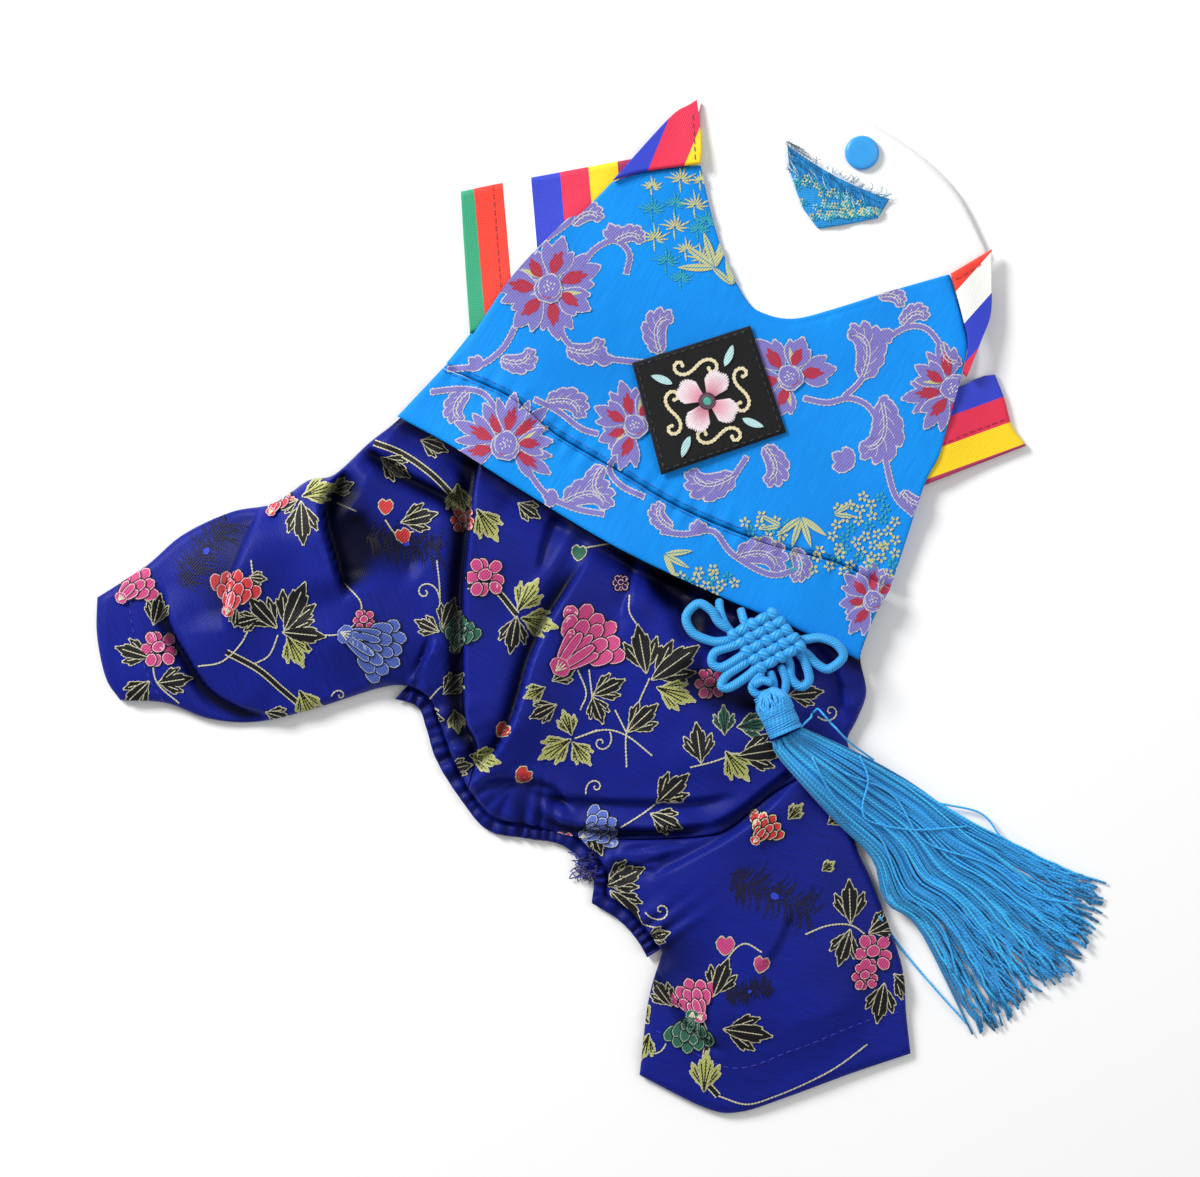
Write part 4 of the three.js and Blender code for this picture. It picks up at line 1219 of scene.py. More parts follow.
def lobed_petal(threads, root, way, length, width, level, gilt):
    """A broad petal that ends in three uneven points, with a ragged crimson wedge at its root."""
    for off, reach, wide in ((-1, 0.78, 0.46), (1, 0.88, 0.42), (0, 1.0, 0.56)):
        blade(threads, root, way + 0.36 * off, length * reach, width * wide, LILAC, PALE_LILAC,
              bend=0.1 * off, blunt=0.6, level=level, belly=1.45, rim_width=0.42)
    wedge = step_from(root, way, length * 0.1)
    for off, reach in ((-1.5, 0.44), (-0.5, 0.6), (0.5, 0.52), (1.5, 0.38)):
        blade(threads, wedge, way + 0.2 * off, length * reach, width * 0.19, CRIMSON, None,
              blunt=0.75, level=level + 0.1, belly=1.35)
    if gilt:
        blade(threads, wedge, way + 0.52, length * 0.6, width * 0.16, GOLD, None, level=level + 0.08)


def scroll_flower(threads, at, angle, size, petals, full):
    """A large woven flower: broad lobed petals that overlap in turn round a bulb, over the angle full."""
    for k in range(petals):
        way = angle + full * ((k + 0.5) / petals - 0.5)
        level = 0.22 * (k % 2) + (0.22 if full > 6 and k == petals - 1 and petals % 2 else 0)
        reach = size * (0.86, 0.74, 0.92)[k % 3]
        wide = min(size * 0.62, 0.62 * size * full / petals)
        lobed_petal(threads, step_from(at, way, size * 0.16), way, reach, wide, level, gilt=k % 3 == 1)
    for off, reach in ((-0.75, 0.42), (0.75, 0.44)):
        blade(threads, step_from(at, angle, -size * 0.26), angle + off, size * reach, size * 0.24,
              LILAC, PALE_LILAC, bend=-0.9 * off, blunt=0.8, level=0.6)
        blade(threads, step_from(at, angle, -size * 0.22), angle + off, size * reach * 0.6, size * 0.1,
              CRIMSON, None, bend=-0.9 * off, level=0.72)
    blade(threads, step_from(at, angle, -size * 0.2), angle, size * 0.46, size * 0.4, LILAC, PALE_LILAC,
          blunt=1.2, level=0.8, rim_width=0.45)
    for k in range(9):
        spot = step_from(at, 2.4 * k, size * 0.042 * math.sqrt(k))
        threads.line(blade_path(spot, angle + 0.5, size * 0.05, 0, 3), 0.5, PALE_LILAC, THREAD_LIFT + 1.0)


def vine(threads, points):
    """A lilac scroll stem with a pale line along each side."""
    line = flowing(points, max(8, round(length_of(points) / 0.8)))
    rimmed(threads, line, np.full(len(line), 0.75), LILAC, PALE_LILAC, beat=0.35, rim_width=0.42)


def bamboo_leaves(threads, at, angle, reach, count):
    """A fan of narrow golden leaves, each with a blue vein."""
    for k in range(count):
        way = angle + 0.62 * (k - (count - 1) / 2)
        blade(threads, at, way, reach, reach * 0.2, GOLD, None, blunt=0.62, level=0.04)
        threads.line(blade_path(at, way, reach * 0.86, 0, 6), 0.3, "#2a8fb8", THREAD_LIFT + 0.16)


def blossoms(threads, at, wide, high, count, colour=GOLD, size=1.5):
    """An oval cloud of small blossoms, each of five open petals."""
    for k in range(count):
        ring = math.sqrt((k + 0.5) / count)
        x, y = at[0] + wide * ring * math.cos(2.4 * k), at[1] + high * ring * math.sin(2.4 * k)
        for part in range(5):
            turn = part * 1.2566 + k
            blade(threads, step_from((x, y), turn, size * 0.35), turn, size, size * 0.62,
                  colour if k % 4 else TEAL, None, blunt=1.1)


def sprig(threads, at, size, colour):
    """A tiny woven tuft: thin strokes that burst from one point, with a short stalk."""
    for k in range(11):
        way = -0.5 + 0.42 * k
        reach = size * (0.5 + 0.2 * (k % 3)) if k < 10 else size * 0.7
        threads.strip(blade_path(step_from(at, way, 0.5), way if k < 10 else -1.57, reach, 0.25, 6),
                      [0.12, 0.24, 0.34, 0.3, 0.2, 0.05], colour, THREAD_LIFT)


# Flowers of the jacket: place, direction, size, petals, angle that they fill
JACKET_FLOWERS = [(-19, 111, 1.3, 18, 7, 6.28), (65, 80, 2.3, 16, 5, 5.3), (122, 76, 3.35, 17, 5, 3.7),
                  (11, 63, 2.3, 15, 6, 5.0), (-34, 56, 1.4, 18, 7, 4.6), (94, 2, 2.0, 13, 6, 5.0)]
# Leaves: place, direction, size, and 1 or -1 for the way they curl
JACKET_LEAVES = [(-13, 90, -0.35, 13, 1), (-36, 86, -0.3, 12, 1), (4, 127, 0.6, 10, -1),
                 (-11, 133, 0.8, 11, -1), (20, 88, 1.9, 15, -1), (90, 79, 1.2, 19, 1),
                 (97, 72, -1.35, 21, -1), (104, 98, 0.9, 10, -1), (46, 46, -2.6, 17, -1),
                 (56, 56, -0.9, 14, -1), (46, 17, 0.3, 17, -1), (66, 20, -1.0, 11, -1),
                 (-47, 75, -2.4, 12, 1), (-14, 36, 0.5, 17, -1), (-20, 71, 0.2, 14, -1),
                 (0, 49, -2.2, 12, 1), (24, 27, 2.6, 10, -1), (104, 40, -0.9, 10, 1),
                 (118, 92, -1.4, 10, 1), (96, 108, 0.2, 9, -1), (-26, 124, 1.0, 9, 1)]
# Buds: place, direction, size
JACKET_BUDS = [(0, 84, 1.5, 5), (4, 128, 1.9, 5.5), (97, 96, -0.9, 5), (33, 25, 1.6, 5), (-43, 83, 2.4, 5),
               (87, 49, 2.6, 8), (-16, 37, 2.9, 5), (96, 70, 0.2, 5)]
JACKET_VINES = [
    [(-16, 100), (-13, 92.5), (-6, 87.5), (4, 86), (14, 85)],
    [(-30, 99), (-35, 90), (-43, 84), (-54, 82.5)],
    [(-8, 118), (-3, 124.5), (4, 127.5), (9, 123), (8, 116)],
    [(70, 72.5), (78, 71), (86, 72.5), (93, 69), (97, 60), (99, 48), (102, 38), (108, 32)],
    [(84, 73), (90, 79), (96, 90), (105, 97), (113, 96.5), (119, 88), (121, 80)],
    [(20, 26), (28, 25), (38, 26), (45, 18), (58, 11), (68, 13)],
    [(-37, 68), (-42, 74), (-50, 75.5), (-60, 74.5)],
    [(-27, 48), (-20, 39), (-10, 34), (0, 32)],
    [(-24, 72), (-16, 68), (-8, 62), (-2, 60)],
    [(6, 54), (2, 48), (6, 42), (14, 38)],
    [(50, 52), (44, 44), (36, 42), (30, 46)],
    [(94, -8), (91, -16)],
    [(-20, 128), (-12, 134), (-6, 140)],
]
# Fans of bamboo leaves: place, direction, reach, leaves
JACKET_BAMBOO = [(39, 118, 2.2, 13, 4), (45, 112, 1.8, 10, 3), (69, 31, -1.57, 11, 4), (62, 28, 3.0, 8, 2),
                 (80, 32, 0.2, 8, 2), (21, 18, -0.5, 10, 3)]
# Clouds of blossoms: place, half width, half height, blossoms
JACKET_BLOSSOMS = [(91, 28, 12, 12, 27), (57, 27, 9, 6, 11), (78, 16, 15, 5, 14), (35, 9, 11, 4.5, 14),
                   (99, 15, 7, 7, 9)]
# Tufts: place, size, colour
JACKET_SPRIGS = [(17, 146, 4, GOLD), (27, 148.5, 6, GOLD), (17, 138, 6, TEAL), (25, 140, 5, TEAL),
                 (32, 139.5, 6, GOLD), (18, 128, 6, GOLD), (25, 132, 6, GOLD), (33, 131, 5.5, TEAL),
                 (22, 120, 6, TEAL), (29, 124, 5, GOLD), (34, 121, 6, GOLD), (34, 148, 4, GOLD),
                 (27, 114, 5, TEAL), (36, 134, 5, TEAL)]


def jacket_figures(threads):
    for points in JACKET_VINES:
        vine(threads, points)
    for x, y, angle, size in JACKET_BUDS:
        for off in (-1, 1, 0):
            blade(threads, (x, y), angle + 0.6 * off, size * (1 - 0.15 * abs(off)), size * 0.5,
                  LILAC, PALE_LILAC, blunt=0.9, belly=1.3)
    for x, y, size, colour in JACKET_SPRIGS:
        sprig(threads, (x, y), size, colour)
    for x, y, wide, high, count in JACKET_BLOSSOMS:
        blossoms(threads, (x, y), wide, high, count)
    for x, y, angle, reach, count in JACKET_BAMBOO:
        bamboo_leaves(threads, (x, y), angle, reach, count)
    for x, y, angle, size, hand in JACKET_LEAVES:
        scroll_leaf(threads, (x, y), angle, size, hand)
    for x, y, angle, size, petals, full in JACKET_FLOWERS:
        scroll_flower(threads, (x, y), angle, size, petals, full)


# Leaves of the trousers: place of the stalk, direction, size, colour
TROUSER_LEAVES = [
    (-105, 37, -1.5, 15, JET), (-105, 38, 0.35, 12, LIME), (-95, 40, 0.35, 8, JET),
    (-106, 37, 3.5, 8, JET), (-111, -9, 1.15, 18, JET), (-113, -8, 2.3, 14, JET),
    (-112, -9, -0.1, 15, JET), (-110, -10, -1.1, 12, LIME), (-119, -4, 3.4, 9, JET),
    (-127, -1, -1.7, 6, JET), (-123, 10, -0.1, 6, JET), (-157, -7, 1.35, 11, JET),
    (-158, -18, 2.85, 12, JET), (-156, -27, 0.15, 12, JET), (-158, -26, -2.4, 12, JET),
    (-106, -29, -1.1, 12, LIME), (-118, -37, -0.3, 9, JET), (-71, 29, 0.25, 13, JET),
    (-51, 43, -1.5, 12, LIME), (-44, 34, -1.0, 13, LIME), (-56, -8, 1.2, 11, JET),
    (-57, -9, 2.7, 9, JET), (-56, -31, 0.8, 10, JET), (-64, -38, -0.2, 8, JET),
    (-52, -36, -1.4, 8, LIME), (-47, -52, -0.2, 11, LIME), (-54, -57, 0.2, 8, JET),
    (-30, -2, 1.0, 13, LIME), (-30, -3, -1.75, 13, JET), (-29, -4, -0.25, 13, LIME),
    (15, -24, 1.75, 17, JET), (16, -26, 0.62, 20, JET), (18, -28, -0.35, 14, LIME),
    (-4, -31, 0.45, 12, JET), (-4, -31, -1.2, 10, JET), (-18, -26, 0.5, 9, JET),
    (-20, -28, 3.6, 8, LIME), (-16, -34, 3.6, 10, JET), (8, -44, 0.75, 14, JET),
    (-11, -45, 1.9, 9, LIME), (-11, -46, 3.7, 13, LIME), (-11, -47, -0.9, 10, LIME),
    (34, -55, 1.7, 14, JET), (46, -52, 0.15, 17, JET), (42, -50, -0.9, 13, LIME),
    (42, -45, 1.6, 10, BOTTLE_GREEN), (46, -42, 0.1, 11, BOTTLE_GREEN), (64, -31, 0.1, 12, JET),
    (18, -69, 0.75, 15, JET), (16, -72, -0.45, 12, JET), (-4, -78, -1.2, 9, JET),
    (0, -98, 0.45, 15, JET), (2, -99, -0.8, 15, JET), (15, -116, 0.3, 8, JET),
    (38, -136, 1.2, 14, JET), (41, -147, -0.15, 17, JET), (24, -140, 2.2, 11, JET),
    (16, -146, 2.2, 10, LIME), (16, -149, -1.9, 10, LIME), (35, -170, 1.5, 14, LIME),
    (86, -111, 1.6, 15, JET), (86, -112, -1.9, 13, JET), (92, -114, 0.5, 12, JET),
    (98, -131, -1.75, 14, JET), (101, -128, -0.8, 12, JET), (64, -74, 0.8, 7, LIME),
    (78, -76, 0.6, 7, LIME), (76, -92, 0.6, 5, LIME), (-78, 52, -0.6, 12, JET),
    (-64, 58, -0.4, 10, JET), (-30, 36, -0.6, 9, JET),
]
# Stems: route, and whether it is a double one
TROUSER_STEMS = [
    ([(-93, 36), (-86, 33)], False),
    ([(-122, 16), (-121, 4), (-124, -10), (-132, -19), (-141, -21)], False),
    ([(-131, -16), (-120, -22), (-112, -29), (-104, -36)], True),
    ([(-157, -14), (-156, -26), (-148, -34)], False),
    ([(-80, 57), (-70, 53), (-60, 46), (-52, 38)], True),
    ([(-76, 30), (-72, 25), (-66, 26)], False),
    ([(-113, -10), (-116, -17), (-121, -20)], False),
    ([(-90, 8), (-84, 1), (-86, -6), (-93, -10), (-108, -9)], False),
    ([(-47, 7), (-38, 6), (-30, -3)], True),
    ([(-58, 16), (-57, 6), (-57, -8)], False),
    ([(-9, -22), (-6, -30), (-8, -36)], False),
    ([(-5, -22), (-4, -31)], False),
    ([(16, -25), (12, -34), (8, -44), (8, -56)], False),
    ([(-10, -46), (0, -43), (8, -45), (17, -52)], False),
    ([(-10, -46), (-2, -43)], False),
    ([(4, -36), (8, -44)], False),
    ([(30, -56), (38, -54), (46, -51)], False),
    ([(6, -77), (14, -72), (18, -69)], False),
    ([(-8, -80), (-2, -90), (1, -98)], False),
    ([(55, -120), (49, -117), (44, -121), (40, -130), (38, -136)], False),
    ([(33, -142), (36, -152), (35, -164), (40, -171)], True),
    ([(40, -171), (50, -174), (60, -171.2), (72, -166), (82, -160.5), (92, -153)], False),
    ([(70, -114), (78, -111), (86, -111), (92, -115)], False),
    ([(9, 4), (9, -2), (12, -7)], False),
    ([(-8, 20), (-2, 21), (4, 22)], False),
    ([(66, -25), (72, -29), (70, -34)], False),
    ([(8, -103), (12, -110), (18, -112)], False),
    ([(-62, -34), (-56, -28), (-52, -30)], False),
]
# Peonies: place, direction, size, colour, colour of the rims, rows of petals
TROUSER_PEONIES = [(-16.5, -22.5, 0.78, 26.5, ROSE, SHELL_PINK, 3),
                   (-91, -9, -0.42, 23, SLATE_BLUE, PALE_SLATE, 3), (-169, 2, 0.8, 15, ROSE, SHELL_PINK, 2),
                   (-130.5, -3, 1.3, 16, SCARLET, SHELL_PINK, 2), (34, -144, 1.9, 15, ROSE, SHELL_PINK, 2),
                   (31, -141, -1.7, 15, BOTTLE_GREEN, PALE_GREEN, 2), (52, -82, 0.9, 12, SCARLET, CREAM, 2),
                   (-52, -16, 1.3, 13, BOTTLE_GREEN, PALE_GREEN, 2),
                   (-8, -81, 0.5, 14, SLATE_BLUE, PALE_SLATE, 2),
                   (-116, 32, 1.2, 11, SCARLET, SHELL_PINK, 2)]
# Clusters: place, size, colour
TROUSER_CLUSTERS = [(-41, 10, 13, ROSE), (-155, -15, 12, ROSE), (94, -121, 13, ROSE), (91, -129, 9, ROSE),
                    (37, -27, 10, ROSE), (-49, 30, 8, SCARLET), (-83, -5, 7, ROSE), (-66, -36, 5, ROSE),
                    (-14, -82, 6, ROSE), (6, 8, 5, "#15105a")]
# Hearts: place of the point, direction, size, colour
TROUSER_HEARTS = [(-76, 32, 1.5, 6, SCARLET), (-69, 22, 1.9, 6, SCARLET), (42, -121, 1.5, 7.5, ROSE),
                  (54, -127, 1.3, 6.5, ROSE), (-9, 16, 1.4, 6, BOTTLE_GREEN), (-36.5, -45, 0.9, 6, SCARLET),
                  (-30, -61, 0.8, 7, SCARLET)]
# Tendrils: place, direction, size, and 1 or -1 for the way they curl
TROUSER_TENDRILS = [(2, -43, -1.2, 8, -1), (-6, -66, 1.7, 7, -1), (22, -152, -1.9, 8, -1),
                    (14, -106, -0.9, 9, 1), (74, -38, -0.7, 8, 1), (-57, 2, 1.7, 9, 1),
                    (-95, -32, 1.2, 5, -1)]
# Tone-on-tone figures: place, size, direction
TROUSER_SHADOWS = [(-139, 18, 28, 1.0), (-70, 22, 26, -0.2), (58, -100, 32, -0.45), (50, -134, 16, 0.3)]


def trouser_figures(threads):
    for x, y, size, angle in TROUSER_SHADOWS:
        feather_shadow(threads, (x, y), size, angle)
    for points, double in TROUSER_STEMS:
        stem(threads, points, double)
    for x, y, angle, size, hand in TROUSER_TENDRILS:
        tendril(threads, (x, y), angle, size, hand)
    for k, (x, y, angle, size, colour) in enumerate(TROUSER_LEAVES):
        vine_leaf(threads, (x, y), angle, size, colour, level=0.05 * (k % 3))
    for x, y, angle, size, colour, pale, rows in TROUSER_PEONIES:
        fan_peony(threads, (x, y), angle, size, colour, pale, rows)
    for x, y, size, colour in TROUSER_CLUSTERS:
        bud_cluster(threads, (x, y), size, colour)
    for x, y, angle, size, colour in TROUSER_HEARTS:
        heart(threads, (x, y), angle, size, colour)


# ---------------------------------------------------------------- pieces


def running_stitch(threads, points, colour, length=2.3, gap=0.9, width=0.5):
    """A line of machine stitches: short domed threads end to end."""
    half = width * np.array([0.1, 0.45, 0.5, 0.5, 0.45, 0.1])
    line = curve(points, max(4, round(length_of(points) / 0.25)))
    run = np.concatenate([[0], np.cumsum(np.hypot(*np.diff(line, axis=0).T))])
    start = 0.4
    while start + length < run[-1]:
        at = np.linspace(start, start + length, 6)
        path = np.stack([np.interp(at, run, line[:, 0]), np.interp(at, run, line[:, 1])], axis=1)
        threads.strip(path, half, colour, lift=0.1, dome=0.22)
        start += length + gap


def beside(points, distance):
    """A smooth line that runs beside another, on the left of its way."""
    return shifted(curve(points, max(8, round(length_of(points) / 2))), distance)


def make_facing():
    """The V of brocade inside the neck. It shows its wrong side, where the figures' threads float loose."""
    cloth = Cloth("neck_facing_cloth", "neck_facing", "neck_facing", facing_detail, wall=0.7, soften=1.5,
                  spacing=0.9)
    piece = place(cloth.shell(wrong_side), "azure_brocade", "neck_facing")
    figures = Threads(cloth)
    for k in range(60):
        u, v = rng.random(), rng.random() ** 1.6
        spot = (67 + 30 * u, 134 + 3 * u + 19 * v * (1 - u))
        blossoms(figures, spot, 1.2, 1.0, 2, "#c9cda0" if k % 3 else "#8fd0e6", 0.9)
    for k in range(90):
        u = rng.random() ** 2.5
        root = (64.5 + 32 * u, 159 - 19 * u - 5 * rng.random())
        path = blade_path(root, -1.5 + 3.0 * (k % 2) + 0.5 * rng.random(), 2 + 2.5 * rng.random(), 0.5, 6)
        figures.strip(path, 0.1, "#175f8c" if k % 4 else "#a9d3e2", 0.4)
    for y in (0.0, 2.6):
        seam = [(66, 158 - y), (74, 152.6 - y), (85, 146.2 - y), (97, 140.6 - y)]
        running_stitch(figures, seam, "#0b74b8", 1.4, 0.7)
    floats = figures.build("neck_facing_floats", woven_figures, "azure_brocade")
    return cloth


def sew_panel(name, detail, seams):
    """A brocade panel of the jacket with its figures and rows of stitches: the shell and what lies on it."""
    cloth = Cloth(name + "_cloth", name, name, detail, grain=JACKET_GRAIN)
    piece = place(cloth.shell(azure_satin), "azure_brocade", name)
    figures = Threads(cloth)
    jacket_figures(figures)
    woven = figures.build(name + "_figures", woven_figures, "azure_brocade")
    stitches = Threads(cloth)
    for line, colour, length, gap in seams:
        running_stitch(stitches, line, colour, length, gap)
    return piece, [woven, stitches.build(name + "_stitches", sewing_thread, "azure_brocade")]


def make_jacket():
    belly = Cloth("belly_panel_cloth", "belly_panel", "belly_panel", spacing=2.0)
    piece = place(belly.shell(azure_satin), "azure_brocade", "belly_panel")
    lining = Cloth("neck_lining_cloth", "neck_lining", "neck_lining", wall=0.8, spacing=1.6,
                   grain=JACKET_GRAIN)
    piece = place(lining.shell(white_cotton), "white_lining", "neck_lining")
    facing = make_facing()

    # Rows of stitches: line, colour, length of a stitch, gap
    seams = [(beside(NECKLINE, 2.1), "#0d7fd2", 2.3, 0.9), (beside(BAND_SEAM, 2.0), "#0a6cc6", 2.8, 0.5)]
    piece, extra = sew_panel("back_panel", back_detail, seams)
    piece, extra = sew_panel("hem_band", jacket_detail, [(beside(BAND_SEAM, -0.9), "#0a6cc6", 2.8, 0.5)])
    return facing


SLEEVES = {
    # piece: grain in degrees, first stripe, where it starts, stripe width, flat size and its area in metres
    "left_sleeve": (5, 0, -42.7, 10.15, (0.106, 0.058), 0.0054),
    "right_sleeve": (-70, 3, -30.0, 9.0, (0.088, 0.034), 0.0026),
    "left_shoulder": (-22, 3, -53.6, 11.0, (0.054, 0.030), 0.0010),
    "right_shoulder": (-42, 1, 8.3, 9.5, (0.056, 0.026), 0.0009),
}
SLEEVE_STITCHES = {
    "left_sleeve": ([(-34.6, 97), (-36.6, 120), (-38.6, 147)], "#c9363f"),
    "right_sleeve": ([(103, 47), (118.5, 56.6), (143.4, 66.4)], "#b81f45"),
    "left_shoulder": ([(32.0, 155), (31.6, 164), (31.0, 174)], "#7a4a58"),
    "right_shoulder": ([(122.5, 113.6), (133.5, 120.4)], "#c9363f"),
}


def make_sleeves():
    """Stripes run across each sleeve, so the grain's first axis points along it."""
    for name, (turn, first, start, width, cut, area) in SLEEVES.items():
        wave = 0.3 if name.endswith("sleeve") else 0.15
        cloth = Sleeve(name + "_cloth", name, name, wall=0.9, grain=turn, soften=2.5, spacing=0.9,
                       detail=lambda x, y, a=wave: a * np.sin(x / 7 + y / 11))
        satin = striped_satin(name + "_saekdong_satin", first, start, width)
        piece = place(cloth.shell(satin), "striped_satin", name)
        stitches = Threads(cloth)
        points, colour = SLEEVE_STITCHES[name]
        running_stitch(stitches, points, colour, 2.0, 0.8, 0.4)
        sewn = stitches.build(name + "_stitches", sewing_thread, "striped_satin")


TROUSERS = {
    # piece: grain in degrees, flat size and its area in metres
    "left_leg": (20, (0.165, 0.145), 0.0125),
    "seat": (60, (0.155, 0.155), 0.0175),
    "right_leg": (75, (0.115, 0.11), 0.0096),
}
CUFF_STITCHES = {
    "left_leg": [(-164.5, 6), (-165, -2), (-163, -12), (-158, -26), (-153, -34)],
    "right_leg": [(18, -148), (44, -161), (66, -154.7), (89, -145.6), (104, -141.5)],
}


def make_trousers():
    for name, (grain, size, area) in TROUSERS.items():
        cloth = Cloth(name + "_satin", name + "_cloth", name, trouser_detail, soften=3.0, grain=grain,
                      rise=turned_down, light=painted_fold_light)
        piece = place(cloth.shell(royal_satin), "blue_brocade", name + "_cloth")
        figures = Threads(cloth)
        trouser_figures(figures)
        extra = [figures.build(name + "_figures", woven_figures, "blue_brocade")]
        if name in CUFF_STITCHES:
            stitches = Threads(cloth)
            running_stitch(stitches, CUFF_STITCHES[name], "#2a24b4", 2.2, 1.1, 0.42)
            extra.append(stitches.build(name + "_hem_stitches", sewing_thread, "blue_brocade"))
        under = Cloth(name + "_underside_satin", name + "_layers", name, spacing=2.2)
        under.field = np.full((CELLS, CELLS), 1.1)
        under_piece = place(under.shell(royal_lining), "blue_brocade", name + "_layers")


def make_elastic():
    cloth = Casing("tail_elastic_casing", "tail_elastic", "tail_elastic", wall=0.9, soften=1.0, spacing=0.7,
                   light=painted_ruffle_light)
    piece = place(cloth.shell(royal_satin), "blue_brocade", "tail_elastic")


def make_patch():
    patch = Cloth("felt_patch", "embroidered_patch", "embroidered_patch", wall=FELT, soften=4, spacing=0.9)
    piece = place(patch.shell(black_felt), "black_felt", "embroidered_patch")
    sewn = Threads(patch)
    centre = (36.2, 71.4)
    corners = [(20, 45.5), (64, 60.5), (51.3, 98), (9.8, 84.8)]
    turn = math.atan2(corners[1][1] - corners[0][1], corners[1][0] - corners[0][0])
    for k in range(4):
        side = turn + k * math.pi / 2
        way = side + math.radians(45)
        embroider_petal(sewn, centre, way)
        tip = step_from(centre, way, 13.6)
        blade(sewn, tip, way, 8.0, 2.6, "#b4dfe2", None, bend=0.2, blunt=0.7, level=0.15)
        embroider_scroll(sewn, centre, side)
    around = [step_from((0, 0), angle, 1.0) for angle in np.linspace(0, 2 * math.pi, 26)]
    # Rings of the flower's centre: radius, half width of the stitching, colour, lift, dome
    rings = ((2.1, 1.0, "#4a1236", 0.62, 0.5), (0.75, 0.8, "#3fae9c", 0.7, 0.55))
    for radius, half, colour, lift, dome in rings:
        sewn.strip(np.array(centre) + radius * np.array(around), half, colour, lift, dome)
    inset = 0.075
    sewn_line = [np.add(corner, np.subtract(centre, corner) * inset) for corner in [*corners, corners[0]]]
    for start, end in zip(sewn_line, sewn_line[1:]):
        running_stitch(sewn, [tuple(start), tuple(end)], "#17171c", 2.2, 0.9)
    made = sewn.build("patch_embroidery", embroidery, "black_felt")


def embroider_petal(sewn, centre, way):
    """One heart-shaped petal of satin stitches: pink at the root, white at its rim."""
    start = 2.3
    half = np.linspace(0.2, 0.5, 9)
    half[-1] = 0.2
    for k in range(15):
        off = (k - 7) / 7
        reach = 11.8 - 3.4 * abs(off) ** 2.4 - 0.7 * math.exp(-((off / 0.2) ** 2))
        angle = way + 0.5 * off
        path = blade_path(step_from(centre, angle, start), angle, reach - start, 0.1 * off, 9)
        sewn.strip(path, half, "#f39ab4", 0.3 + 0.03 * (k % 2), dome=0.35, tip="#fdf0f4")


def embroider_scroll(sewn, centre, way):
    """An S-shaped scroll of chain stitch between two petals, its ends curled opposite ways."""
    middle = step_from(centre, way, 12.6)
    t = np.linspace(0, 1, 30)
    for side in (-1, 1):
        path = walk(middle, way + math.pi / 2 * side + 0.5 - 6.2 * t**1.5, 0.72 * (1 - 0.6 * t))
        sewn.line(np.vstack([[middle], path]), 1.15, "#eadcae", lift=0.3, twist=0.25, step=0.7)


def make_snap():
    """The snap cap keeps its CAD shape and gets a rounded skin, with a faint dimple."""
    low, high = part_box("snap_cap")
    base, top = low.z / MM, high.z / MM
    middle = (*SNAP_CENTRE, top - 0.12)
    # Radius and height of each ring, from the dimple outwards and down
    profile = [(1.2, top - 0.1), (1.7, top - 0.02), (4.1, top), (4.5, top - 0.06), (5.3, top - 0.16),
               (5.75, top - 0.5), (6.0, top - 1.1), (5.95, base + 0.25), (5.6, base)]
    sides = 48
    angles = np.arange(sides) * 2 * math.pi / sides
    points = [(*step_from(SNAP_CENTRE, angle, radius), z) for radius, z in profile for angle in angles]
    faces = []
    for ring in range(len(profile) - 1):
        for k in range(sides):
            a, b = ring * sides + k, ring * sides + (k + 1) % sides
            faces.append([a, a + sides, b + sides, b])
    faces += [[len(points), k, (k + 1) % sides] for k in range(sides)]
    faces.append([(len(profile) - 1) * sides + k for k in reversed(range(sides))])
    made = mesh_object("snap_cap_skin", [*points, middle], faces, azure_acetal)
    place(made, "azure_plastic", "snap_cap")


def make_knot():
    """One cord woven over and under itself into a diamond, with loops round it."""
    low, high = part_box("knot_body")
    middle = (low.z + high.z) / 2 / MM
    swing = 1.25
    runs = 5  # each way
    left, bottom, top = (np.array(KNOT_CORNERS[k]) for k in ("left", "bottom", "top"))
    body = Strands()
    for along, across, hand in ((bottom - left, top - left, 1), (top - left, bottom - left, -1)):
        for k in range(runs):
            s = np.linspace(0.02, 0.98, 34)
            path = left + across * (k + 0.5) / runs + along * s[:, None]
            beat = (-1) ** k * hand * np.cos(math.pi * (s * runs - 0.5))
            z = middle + swing * beat
            z -= 1.6 * (smooth_step(1 - s / 0.07) + smooth_step(1 - (1 - s) / 0.07))
            body.add(np.column_stack([path, z]), CORD * (0.51 + 0.09 * beat), 12, round_ends=True)
    body.build("knot_weave", rayon_cord, "azure_cord", "knot_body")
    for name, points in LOOPS.items():
        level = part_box(name)[0].z / MM + CORD / 2 + 0.6
        loop = Strands()
        line = flowing(points, 46)
        share = np.linspace(0, 1, 47)
        tucked = -1.4 * (smooth_step(1 - share / 0.1) + smooth_step(1 - (1 - share) / 0.1))
        z = level + 0.7 * np.sin(math.pi * share) + tucked
        loop.add(np.column_stack([line, z]), CORD * 0.5, 12, round_ends=True)
        loop.build(name + "_cord", rayon_cord, "azure_cord", name)
    neck = Strands()
    for lift, fall, points in JOINING_CORDS:
        z = middle - 0.6 + lift - fall * smooth_step(np.linspace(-0.6, 1, 21))
        neck.add(np.column_stack([flowing(points, 20), z]), CORD * 0.47, 12, round_ends=True)
    neck.build("knot_neck_cords", rayon_cord, "azure_cord")


